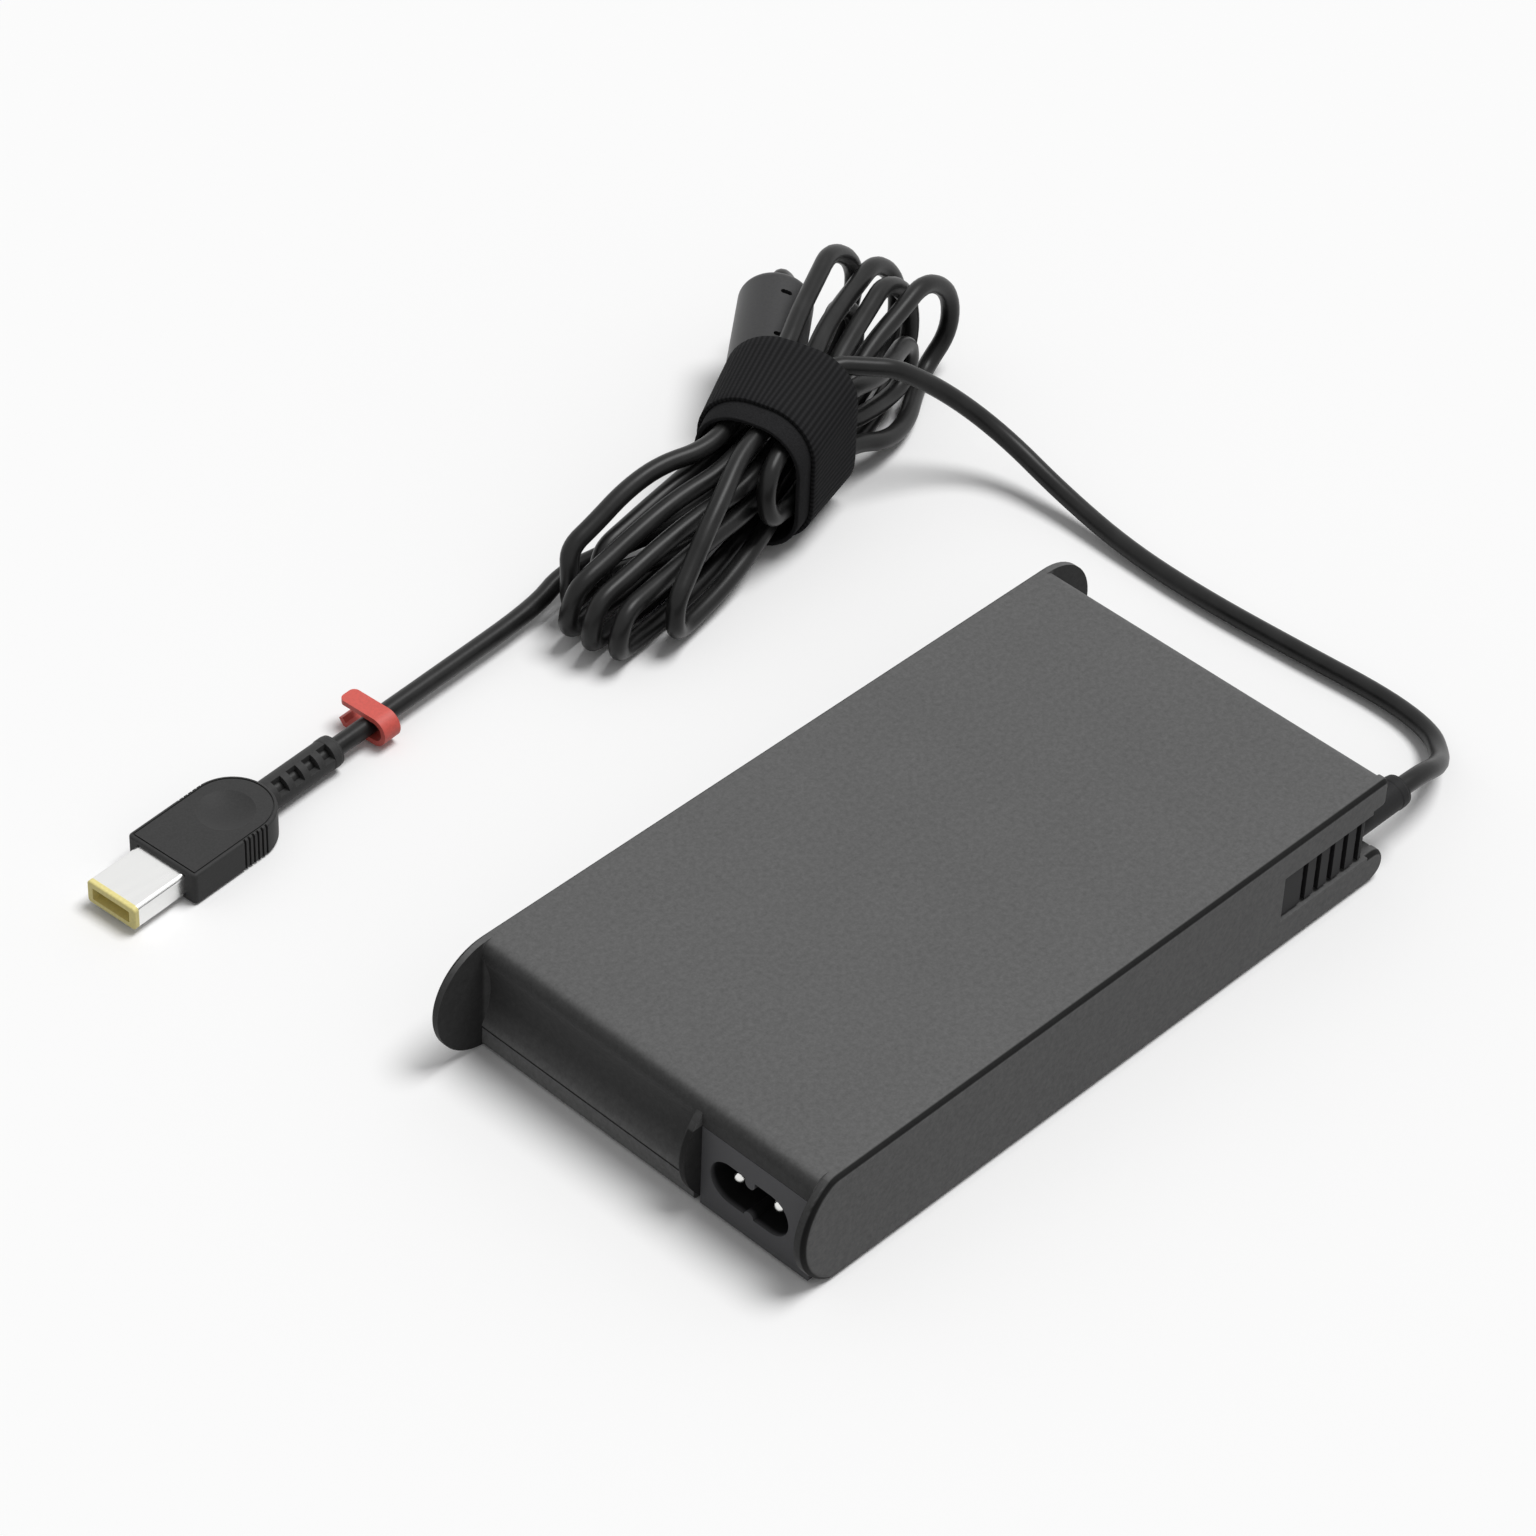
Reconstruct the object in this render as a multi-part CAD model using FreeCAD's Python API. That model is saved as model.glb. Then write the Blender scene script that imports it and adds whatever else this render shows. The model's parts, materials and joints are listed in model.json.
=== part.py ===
import FreeCAD, Part
import math
import os

# Laptop power adapter: a flat power brick with a figure-8 mains inlet, and its output cord,
# gathered in a hank by a strap, with a ferrite bead, a coloured clip and a flat plug.
# Millimetres. X runs along the brick from the inlet end (-X) to the cord end (+X),
# the wall with the cord's outlet faces -Y, +Z is up, and the origin is the middle of
# the underside.

# Housing
TOP_LENGTH = 134.4        # the top face, end to end
BODY_WIDTH = 75.5
BODY_HEIGHT = 22.0
SHELL_WALL = 1.8
FLOOR_WALL = 2.0
TOP_EDGE_R = 2.6          # round between the top face and each end
TROUGH_DEPTH = 2.0        # how far each end is hollowed
END_WALL = 3.0            # behind the deepest part of the hollow
LIP_HEIGHT = 4.3          # the parting line between the covers at the ends
EAR_REACH = 76.7          # the full-round plates of the +Y wall
EAR_THICK = 1.5
NOSE_REACH = 70.9         # the shallower noses of the -Y wall
NOSE_R = 12.5
NOSE_THICK = 2.0
NOSE_EDGE = 1.1           # round on the -Y wall's outer rim
NOSE_CORNER = 3.0         # round where the nose meets the top
LIP_REACH = 67.0          # upper lip over the cord's outlet
LIP_CORNER = 1.4
TONGUE_REACH = 68.2       # full-round lower lip
EDGE_BREAK = 0.5          # small round on the +Y wall's outer rim
PARTING = 0.4             # open groove between the covers at the ends
PARTING_DEEP = 0.7
SEAM = 0.1                # gap beside a piece that is let into another

# Mains inlet
INLET_Y = 14.85 - BODY_WIDTH / 2
INLET_Z = BODY_HEIGHT / 2 - 2.1
INLET_LEFT = 25.25 - BODY_WIDTH / 2        # the cheek's inner face, where the inlet's own face starts
INLET_TOP = BODY_HEIGHT - 4.7
INLET_BOTTOM = 0.5
CHEEK_THICK = 1.2
FLANGE_THICK = 2.2
INLET_DEEP = 16.5         # from the face to the back of the inlet's body
RECESS_DEEP = 13.0
LOBE_R = 4.0
LOBE_PITCH = 8.6
TOOTH_WIDTH = 2.0
TOOTH_GAP = 4.4           # clear height between two teeth like the upper one
TOOTH_DROP = 0.8          # how much lower the lower tooth starts
PIN_R = 1.2
PIN_SETBACK = 1.5
PIN_TAIL = 3.0            # how far a terminal stands out behind the inlet's body
PIN_LEG_R = 0.6

# Cord and its outlet
CORD_D = 3.5
OUTLET_Y = 4.25 - BODY_WIDTH / 2
OUTLET_Z = BODY_HEIGHT / 2 + 0.2
RELIEF_START = 41.2
RELIEF_BLOCK = 5.2        # plain block before the first groove
GROOVE_PITCH = 3.4
GROOVE_WIDTH = 1.3
GROOVE_DEEP = 1.8
GROOVES = 5
RIB_WIDTH = GROOVE_PITCH - GROOVE_WIDTH
RELIEF_HEIGHT = 9.3
RIB_GAP = 0.4             # open slit above and below the relief's face
RELIEF_FACE = 0.55        # how far the ribs lie behind the wall's face
RELIEF_BACK = 3.9         # from the cord's axis to the relief's back
BOOT_D = 5.8
BOOT_END = 75.6
COLLAR = 0.1              # how much thicker the boots are at their ends
COLLAR_LENGTH = 2.4
POCKET_WALL = 1.3
CORE_HOLE_D = 4.4

# Inside
BOARD_THICK = 1.6
BOARD_POST = 2.6          # from the floor to the board's underside
POST_R = 2.5
POST_HOLE_GAP = 0.4
BOARD_SIDE_GAP = 1.0
FILM = 0.3
TOP_SHEET = 1.0
BOTTOM_SHEET = 0.8
PAD = 0.5
COLUMNS = 36              # the board's parts stand on a grid of columns, rows and layers
ROWS = 24
LAYERS = 12

# Hank: its own directions are u along the loops and w across them
HANK_X = 63.0
HANK_Y = 98.5
HANK_TURN = 16.0          # degrees from +X to u
WIRE_GAP = 0.95           # kept between neighbouring turns
FLOOR_GAP = 0.25
MOUTH = 12.0              # the loops open out this far from the waist
SETTLE_ROUNDS = 200
LAST_ROUNDS = 20          # these only push apart
EASE = 0.12
MIN_GAP = 0.4

# Strap
STRAP_THICK = 0.85
STRAP_LEFT = -10.0
STRAP_STEP = -6.0         # where the outer wrap starts
STRAP_RIGHT = 10.0
STRAP_CLEAR = 0.5
STRAP_W_LOW = (-11.2, -11.3)     # across, at the strap's left and right mouth
STRAP_W_HIGH = (11.6, 15.6)
STRAP_TOP = (28.0, 31.2)
STRAP_CORNERS = ((9.5, 10.0), (9.5, 10.0), (10.5, 13.0), (9.5, 9.0))     # round from the near lower one

# Ferrite bead
SLEEVE_R = 7.0
SLEEVE_ROUND = 2.0
BEAD_NEAR = (15.8, 10.9, 14.4)
BEAD_FAR = (38.0, 19.8, 16.0)
CORE_R = 5.4
CORE_CAP = 3.0            # sleeve beyond each end of the core
WINDOW_LENGTH = 2.2
WINDOW_WIDTH = 1.1
BORE_GAP = 0.05

# Plug, along its own axis from the tip
PLUG_TURN = 3.9           # degrees from +X
PLUG_TIP = (-90.5, 98.9)
PLUG_HEIGHT = 6.4
SHELL_WIDTH = 11.0
SHELL_HEIGHT = 4.6
SHELL_START = 1.0
SHELL_WALL_T = 0.4
SHELL_R = 0.8
BODY_START = 11.5
PLUG_LENGTH = 24.0
PLUG_WIDTH = 15.5
PLUG_CORNER = 0.8
PLUG_RIM = 0.6            # from the plug's outline to the fine line cut in its two faces
RIM_CUT = 0.25
DIMPLE_R = 5.0
DIMPLE_DEEP = 1.1
GRIPS = 6
GRIP_PITCH = 1.0
GRIP_WIDTH = 0.45
GRIP_DEEP = 0.5
PLUG_BOOT_D = 5.7
GRIP_START = 4.7          # from the middle of the plug's round end to the first grip line
PLUG_BOOT_LENGTH = 16.2
BOOT_NOTCHES = 4
NOTCH_START = 1.2         # from the plug's body to the first notch
NOTCH_PITCH = 3.6
NOTCH_WIDTH = 2.2
NOTCH_DEEP = 1.1
SLOT_WIDTH = 8.4
SLOT_HEIGHT = 2.4
SLOT_DEEP = 8.0
CONTACT_THICK = 0.6
STRAIGHT_TAIL = 50.8      # the tail lies straight between the plug and the hank

# Clip
CLIP_AT = 10.0            # from the boot's end to the clip's middle
CLIP_WIDTH = 3.8
CLIP_THICK = 1.0
CLIP_BACK = 4.6           # from the cord's axis to the closed end
CLIP_ARM = 6.2            # from the cord's axis to the upper tip
CLIP_LOWER_ARM = 5.2
CLIP_TIP_R = 1.2          # round of the upper tip's corners
CLIP_GAP = 0.08
CLIP_HOOK = 1.3

# Worked out
HALF_TOP = TOP_LENGTH / 2
HALF_WIDTH = BODY_WIDTH / 2
CORD_R = CORD_D / 2
CAVITY_X = HALF_TOP - TROUGH_DEPTH - END_WALL
CAVITY_TOP = BODY_HEIGHT - SHELL_WALL
LEFT_INNER = HALF_WIDTH - EAR_THICK
RIGHT_INNER = NOSE_THICK - HALF_WIDTH
FACE_X = -HALF_TOP
BOARD_BOTTOM = FLOOR_WALL + BOARD_POST
BOARD_TOP = BOARD_BOTTOM + BOARD_THICK
SHEET_TOP = CAVITY_TOP - FILM
SHEET_BOTTOM = SHEET_TOP - TOP_SHEET
PART_TOP = SHEET_BOTTOM - PAD
COLUMN_START = FACE_X + INLET_DEEP + PIN_TAIL
COLUMN = (CAVITY_X - COLUMN_START) / COLUMNS
ROW = (LEFT_INNER - RIGHT_INNER) / ROWS
LAYER = (PART_TOP - BOARD_TOP) / LAYERS
CELL = min(COLUMN, ROW)
RELIEF_END = RELIEF_START + RELIEF_BLOCK + GROOVES * GROOVE_PITCH
POCKET_BACK = OUTLET_Y + RELIEF_BACK + SEAM
LOOP_FLOOR = CORD_R + FLOOR_GAP
PLUG_AXIS_Z = PLUG_HEIGHT / 2


def vec(x, y, z):
    return FreeCAD.Vector(x, y, z)


def box(x0, x1, y0, y1, z0, z1):
    return Part.makeBox(x1 - x0, y1 - y0, z1 - z0, vec(x0, y0, z0))


def rod(radius, start, direction, length):
    return Part.makeCylinder(radius, length, vec(*start), vec(*direction))


def join(shapes):
    result = shapes[0]
    for shape in shapes[1:]:
        result = result.fuse(shape)
    return result.removeSplitter()


def arc(a, b, c):
    return Part.Arc(vec(*a), vec(*b), vec(*c)).toShape()


def line(a, b):
    return Part.LineSegment(vec(*a), vec(*b)).toShape()


def save(name, shape):
    solids = shape.Solids
    if len(solids) == 1:
        shape = solids[0]
    else:
        shape = Part.makeCompound(solids)
    shape.exportStep("parts/%s.step" % name)
    print("%-24s solids %d volume %.1f valid %s" % (name, len(solids), shape.Volume, shape.isValid()))


def round_where(shape, radius, wanted):
    edges = [edge for edge in shape.Edges if wanted(edge)]
    return shape.makeFillet(radius, edges) if edges else shape


# Housing


def hollow_arc(under, low):
    """start, middle and end of the hollow below a top edge that turns under by so much; across, z"""
    start = (TOP_EDGE_R * (1 - math.cos(under)), BODY_HEIGHT - TOP_EDGE_R * (1 + math.sin(under)))
    chord = (-start[0], low - start[1])
    length = math.hypot(*chord)
    bend = under + math.atan2(-chord[0], -chord[1])
    depth = length / 2 * math.tan(bend / 2)
    side = (-chord[1] / length, chord[0] / length)
    middle = tuple(start[i] + chord[i] / 2 + depth * side[i] for i in range(2))
    return start, middle, (0.0, low)


def end_outline(sign, low):
    """edges of one hollowed end in the XZ plane, from the top face down to low, smooth all the way"""
    under, most = 0.0, math.pi / 3
    for i in range(40):
        half = (under + most) / 2
        if hollow_arc(half, low)[1][0] < TROUGH_DEPTH:
            under = half
        else:
            most = half
    start, middle, lip = [(sign * (HALF_TOP - across), 0, z) for across, z in hollow_arc(under, low)]
    centre = (HALF_TOP - TOP_EDGE_R, BODY_HEIGHT - TOP_EDGE_R)
    half = (math.pi / 2 - under) / 2
    knee = (sign * (centre[0] + TOP_EDGE_R * math.cos(half)), 0, centre[1] + TOP_EDGE_R * math.sin(half))
    return [arc((sign * centre[0], 0, BODY_HEIGHT), knee, start), arc(start, middle, lip)]


def extrude_y(edges, y0, y1):
    face = Part.Face(Part.Wire(Part.__sortEdges__(edges)))
    face.translate(vec(0, y0, 0))
    return face.extrude(vec(0, y1 - y0, 0))


def side_plate(reach, radius, y0, y1):
    """a side wall whose two ends are arcs, seen from the side"""
    middle = BODY_HEIGHT / 2
    centre = reach - radius
    corner = centre + math.sqrt(max(radius * radius - middle * middle, 0.0))
    edges = [arc((corner, 0, BODY_HEIGHT), (reach, 0, middle), (corner, 0, 0)),
             line((corner, 0, 0), (-corner, 0, 0)),
             arc((-corner, 0, 0), (-reach, 0, middle), (-corner, 0, BODY_HEIGHT)),
             line((-corner, 0, BODY_HEIGHT), (corner, 0, BODY_HEIGHT))]
    return extrude_y(edges, y0, y1)


def nose_plate():
    """the -Y wall: a nose at the inlet's end, two lips above and below the cord's outlet at the other"""
    middle = BODY_HEIGHT / 2
    centre = NOSE_REACH - NOSE_R
    corner = centre + math.sqrt(max(NOSE_R * NOSE_R - middle * middle, 0.0))
    high = OUTLET_Z + RELIEF_HEIGHT / 2 + SEAM
    low = OUTLET_Z - RELIEF_HEIGHT / 2 - SEAM
    tip = TONGUE_REACH - low / 2
    spots = [(-corner, BODY_HEIGHT), (LIP_REACH, BODY_HEIGHT), (LIP_REACH, high), (RELIEF_END, high),
             (RELIEF_END, low), (tip, low)]
    edges = [arc((-corner, 0, 0), (-NOSE_REACH, 0, middle), (-corner, 0, BODY_HEIGHT))]
    edges += [line((a[0], 0, a[1]), (b[0], 0, b[1])) for a, b in zip(spots, spots[1:])]
    edges.append(arc((tip, 0, low), (TONGUE_REACH, 0, low / 2), (tip, 0, 0)))
    edges.append(line((tip, 0, 0), (-corner, 0, 0)))
    plate = extrude_y(edges, -HALF_WIDTH, RIGHT_INNER)
    plate = round_where(plate, NOSE_CORNER, lambda e: abs(e.CenterOfMass.x + corner) < 0.01
                        and e.CenterOfMass.z > BODY_HEIGHT - 0.01 and abs(e.CenterOfMass.y + HALF_WIDTH) > 0.1)
    plate = round_where(plate, LIP_CORNER, lambda e: abs(e.CenterOfMass.x - LIP_REACH) < 0.01
                        and len(e.Vertexes) == 2 and abs(e.Vertexes[0].Y - e.Vertexes[1].Y) > 1)
    return round_where(plate, NOSE_EDGE, lambda e: e.CenterOfMass.y < 0.01 - HALF_WIDTH
                       and e.CenterOfMass.x < LIP_REACH - 5)


def relief_pocket(grow):
    """room for the strain relief, open to the -Y side and to the cord end"""
    half = RELIEF_HEIGHT / 2 + grow
    return box(RELIEF_START - grow, NOSE_REACH + 5, -HALF_WIDTH - 1, OUTLET_Y + RELIEF_BACK + grow,
               OUTLET_Z - half, OUTLET_Z + half)


def top_cover():
    edges = end_outline(1, LIP_HEIGHT) + end_outline(-1, LIP_HEIGHT)
    edges.append(line((TOP_EDGE_R - HALF_TOP, 0, BODY_HEIGHT), (HALF_TOP - TOP_EDGE_R, 0, BODY_HEIGHT)))
    edges.append(line((-HALF_TOP, 0, LIP_HEIGHT), (HALF_TOP, 0, LIP_HEIGHT)))
    block = extrude_y(edges, RIGHT_INNER, LEFT_INNER)
    left = side_plate(EAR_REACH, BODY_HEIGHT / 2, LEFT_INNER, HALF_WIDTH)
    left = round_where(left, EDGE_BREAK, lambda e: e.CenterOfMass.y > HALF_WIDTH - 0.01)
    right = nose_plate()
    cheek = side_plate(NOSE_REACH, NOSE_R, INLET_LEFT, INLET_LEFT + CHEEK_THICK)
    cheek = cheek.common(box(-NOSE_REACH - 1, -CAVITY_X, INLET_LEFT, INLET_LEFT + CHEEK_THICK,
                             0, BODY_HEIGHT))
    brow = box(FACE_X, -CAVITY_X, RIGHT_INNER, INLET_LEFT, INLET_TOP, BODY_HEIGHT - TOP_EDGE_R)
    shell = join([block, left, right, cheek, brow])
    cavity = box(-CAVITY_X, CAVITY_X, RIGHT_INNER, LEFT_INNER, LIP_HEIGHT - 1, CAVITY_TOP)
    pocket_shell = relief_pocket(POCKET_WALL)
    keep = pocket_shell.common(box(0, CAVITY_X, RIGHT_INNER, LEFT_INNER, LIP_HEIGHT, CAVITY_TOP))
    shell = join([shell.cut(cavity), keep])
    shell = shell.cut(relief_pocket(SEAM))
    hole = rod(CORE_HOLE_D / 2, (RELIEF_START - 4 * POCKET_WALL, OUTLET_Y, OUTLET_Z),
               (1, 0, 0), 6 * POCKET_WALL)
    shell = shell.cut(hole)
    inlet_room = box(FACE_X - 1, FACE_X + INLET_DEEP, RIGHT_INNER, INLET_LEFT, -1, INLET_TOP)
    return shell.cut(inlet_room)


def posts():
    x = CAVITY_X - 2 * POST_R
    y = LEFT_INNER - 2.4 * POST_R
    inlet_x = FACE_X + INLET_DEEP + 2 * POST_R
    return [(x, y), (-x, y), (inlet_x, -y), (RELIEF_START - POCKET_WALL - 3 * POST_R, -y)]


def bottom_cover():
    y0 = RIGHT_INNER + SEAM
    y1 = LEFT_INNER - SEAM
    plate = box(-HALF_TOP, HALF_TOP, y0, y1, 0, LIP_HEIGHT)
    plate = round_where(plate, EDGE_BREAK + 0.3,
                        lambda e: e.CenterOfMass.z < 0.01 and abs(abs(e.CenterOfMass.x) - HALF_TOP) < 0.01)
    plate = plate.cut(box(-CAVITY_X, CAVITY_X, y0 + SHELL_WALL, y1 - SHELL_WALL, FLOOR_WALL, LIP_HEIGHT + 1))
    room = box(FACE_X - 1, FACE_X + FLANGE_THICK + SEAM, y0 - 1, INLET_LEFT, -1, LIP_HEIGHT + 1)
    body_room = box(FACE_X, FACE_X + INLET_DEEP, y0 - 1, INLET_LEFT, FLOOR_WALL, LIP_HEIGHT + 1)
    cheek_room = box(FACE_X - 1, -CAVITY_X, INLET_LEFT - SEAM, INLET_LEFT + CHEEK_THICK + SEAM, -1,
                     LIP_HEIGHT + 1)
    plate = plate.cut(room).cut(body_room).cut(cheek_room)
    for side in (-1, 1):
        x = side * HALF_TOP
        plate = plate.cut(box(min(x, x - side * PARTING_DEEP), max(x, x - side * PARTING_DEEP), y0, y1,
                              LIP_HEIGHT - PARTING, LIP_HEIGHT + 1))
    result = [plate]
    for x, y in posts():
        result.append(rod(POST_R, (x, y, FLOOR_WALL), (0, 0, 1), BOARD_POST))
    return join(result)


# Mains inlet


def inlet_block():
    y0 = RIGHT_INNER + SEAM
    y1 = INLET_LEFT - SEAM
    flange = box(FACE_X, FACE_X + FLANGE_THICK, y0, y1, INLET_BOTTOM, INLET_TOP - SEAM)
    body = box(FACE_X + FLANGE_THICK, FACE_X + INLET_DEEP, y0 + SHELL_WALL, y1, FLOOR_WALL + SEAM,
               INLET_TOP - SEAM)
    block = join([flange, body])
    lobes = []
    for side in (-1, 1):
        start = (FACE_X - 1, INLET_Y + side * LOBE_PITCH / 2, INLET_Z)
        lobes.append(rod(LOBE_R, start, (1, 0, 0), RECESS_DEEP + 1))
    lobes.append(box(FACE_X - 1, FACE_X + RECESS_DEEP, INLET_Y - LOBE_PITCH / 2, INLET_Y + LOBE_PITCH / 2,
                     INLET_Z - LOBE_R, INLET_Z + LOBE_R))
    recess = join(lobes)
    for side in (-1, 1):
        drop = TOOTH_DROP if side < 0 else 0.0
        inner = INLET_Z + side * (TOOTH_GAP / 2 + TOOTH_WIDTH / 2 + drop)
        outer = INLET_Z + side * (LOBE_R + 1)
        tooth = box(FACE_X - 2, FACE_X + RECESS_DEEP + 1, INLET_Y - TOOTH_WIDTH / 2,
                    INLET_Y + TOOTH_WIDTH / 2, min(inner, outer), max(inner, outer))
        tip = rod(TOOTH_WIDTH / 2, (FACE_X - 2, INLET_Y, inner), (1, 0, 0), RECESS_DEEP + 3)
        recess = recess.cut(join([tooth, tip]))
    block = block.cut(recess)
    for side in (-1, 1):
        y = INLET_Y + side * LOBE_PITCH / 2
        block = block.cut(rod(PIN_R, (FACE_X, y, INLET_Z), (1, 0, 0), INLET_DEEP + 1))
    return block


def inlet_pins():
    pins = []
    for side in (-1, 1):
        y = INLET_Y + side * LOBE_PITCH / 2
        tip = FACE_X + PIN_SETBACK
        back = FACE_X + INLET_DEEP + PIN_TAIL
        dome = Part.makeSphere(PIN_R, vec(tip + PIN_R, y, INLET_Z))
        shaft = rod(PIN_R, (tip + PIN_R, y, INLET_Z), (1, 0, 0), back - tip - PIN_R)
        leg = rod(PIN_LEG_R, (back - PIN_LEG_R - 0.4, y, BOARD_TOP), (0, 0, 1), INLET_Z - BOARD_TOP)
        pins.append(join([dome, shaft, leg]))
    return Part.makeCompound(pins)


# Strain relief in the -Y wall


def strain_relief():
    face = RELIEF_FACE - HALF_WIDTH
    back = OUTLET_Y + RELIEF_BACK
    half = RELIEF_HEIGHT / 2
    body = box(RELIEF_START, RELIEF_END - GROOVE_WIDTH + 0.4, face, back, OUTLET_Z - half, OUTLET_Z + half)
    body = round_where(body, 0.6, lambda e: abs(e.CenterOfMass.y - face) < 0.01)
    for i in range(GROOVES):
        x = RELIEF_START + RELIEF_BLOCK + i * GROOVE_PITCH
        body = body.cut(box(x, x + GROOVE_WIDTH, face - 1, face + GROOVE_DEEP, OUTLET_Z - half - 1,
                            OUTLET_Z + half + 1))
    for side in (-1, 1):
        edge = OUTLET_Z + side * (half - RIB_GAP)
        past = OUTLET_Z + side * (half + 1)
        body = body.cut(box(RELIEF_START - 1, RELIEF_END, face - 1, face + GROOVE_DEEP,
                            min(edge, past), max(edge, past)))
    boot = rod(BOOT_D / 2, (RELIEF_START + 1, OUTLET_Y, OUTLET_Z), (1, 0, 0), BOOT_END - RELIEF_START - 1)
    collar = rod(BOOT_D / 2 + COLLAR, (BOOT_END - COLLAR_LENGTH, OUTLET_Y, OUTLET_Z),
                 (1, 0, 0), COLLAR_LENGTH)
    collar = round_where(collar, 0.7, lambda e: len(e.Vertexes) == 1)
    return join([body, boot, collar])


# Inside the brick


def circuit_board():
    gap = BOARD_SIDE_GAP
    inlet_back = FACE_X + INLET_DEEP + gap
    x1 = CAVITY_X - gap
    y0 = RIGHT_INNER + gap
    y1 = LEFT_INNER - gap
    board = box(inlet_back, x1, y0, y1, BOARD_BOTTOM, BOARD_TOP)
    tab = box(-CAVITY_X + gap, inlet_back, INLET_LEFT + CHEEK_THICK + gap, y1, BOARD_BOTTOM, BOARD_TOP)
    board = join([board, tab])
    corner = RELIEF_START - POCKET_WALL - gap
    return board.cut(box(corner, x1 + 1, y0 - 1, POCKET_BACK + POCKET_WALL + gap, BOARD_BOTTOM - 1,
                         BOARD_TOP + 1))


def on_board(column, row, length, width, height, lift=0.0):
    """a box standing on the board, its middle and its sizes in columns, rows and layers"""
    x = COLUMN_START + column * COLUMN
    y = RIGHT_INNER + row * ROW
    z = BOARD_TOP + lift * LAYER
    half_x = length * COLUMN / 2
    half_y = width * ROW / 2
    return box(x - half_x, x + half_x, y - half_y, y + half_y, z, z + height * LAYER)


def board_spot(column, row):
    return COLUMN_START + column * COLUMN, RIGHT_INNER + row * ROW


def thin_sheet(z0, z1, inset, holes):
    x1 = CAVITY_X - inset
    sheet = box(FACE_X + INLET_DEEP + inset, x1, RIGHT_INNER + SHELL_WALL + inset,
                LEFT_INNER - SHELL_WALL - inset, z0, z1)
    corner = RELIEF_START - POCKET_WALL - inset
    sheet = sheet.cut(box(corner, x1 + 1, RIGHT_INNER, POCKET_BACK + POCKET_WALL + inset, z0 - 1, z1 + 1))
    if holes:
        for x, y in posts():
            sheet = sheet.cut(rod(POST_R + POST_HOLE_GAP, (x, y, z0 - 1), (0, 0, 1), z1 - z0 + 2))
    return sheet


def ring(outer, inner, height, x, y, z):
    return rod(outer, (x, y, z), (0, 0, 1), height).cut(rod(inner, (x, y, z - 1), (0, 0, 1), height + 2))


def choke():
    """a ring core lying flat on its winding's feet, and two windings on it"""
    x, y = board_spot(3.9, 17.3)
    outer, inner, height, wire = 3.0 * CELL, 1.65 * CELL, 6.9 * LAYER, 1.1 * LAYER
    core = ring(outer, inner, height, x, y, BOARD_TOP + wire)
    coil = ring(outer + wire, inner - wire, height + 2 * wire, x, y, BOARD_TOP)
    coil = coil.cut(core)
    gap = 0.6 * CELL
    keep = box(x - outer - wire, x + outer + wire, y - gap, y + gap, BOARD_TOP - 1, PART_TOP)
    return core, coil.cut(keep)


def e_core(column, row, length, width, leg, coil):
    """an E core lying flat under its pad, and the winding round its middle leg"""
    window = length - 2 * leg
    middle = width - 2 * (leg + coil) - 0.2
    tall = LAYERS - 2 * coil
    core = on_board(column, row, length, width, tall, coil)
    core = core.cut(on_board(column, row, window, width - 2 * leg, tall, coil))
    middle_leg = on_board(column, row, window, middle, tall, coil)
    winding = on_board(column, row, window, middle + 2 * coil, LAYERS).cut(middle_leg)
    return join([core, middle_leg]), winding


def lying_can(column, row, length):
    radius = min(1.95 * ROW, 5.8 * LAYER)
    x, y = board_spot(column, row)
    can = rod(radius, (x - length * COLUMN / 2, y, BOARD_TOP + radius), (1, 0, 0), length * COLUMN)
    return round_where(can, 0.8, lambda e: len(e.Vertexes) == 1)


def standing_can(column, row):
    x, y = board_spot(column, row)
    can = rod(1.3 * CELL, (x, y, BOARD_TOP), (0, 0, 1), 11.3 * LAYER)
    return round_where(can, 0.6, lambda e: len(e.Vertexes) == 1)


def disc_capacitor(column):
    x, y = board_spot(column, 2.4)
    radius = min(1.25 * CELL, 5 * LAYER)
    return rod(radius, (x, y, BOARD_TOP + radius), (0, 1, 0), 1.2 * ROW)


PFC = (11.7, 9.3, 6.5, 7.3, 1.0, 1.8)              # column, row, length, width, leg, winding
TRANSFORMER = (21.6, 10.0, 9.2, 8.6, 1.3, 2.0)
TRANSISTORS = ((23.0, 17.4), (23.0, 21.2), (17.0, 2.4))
TAB = 4.3                 # layers that a transistor takes, under its pad


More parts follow.
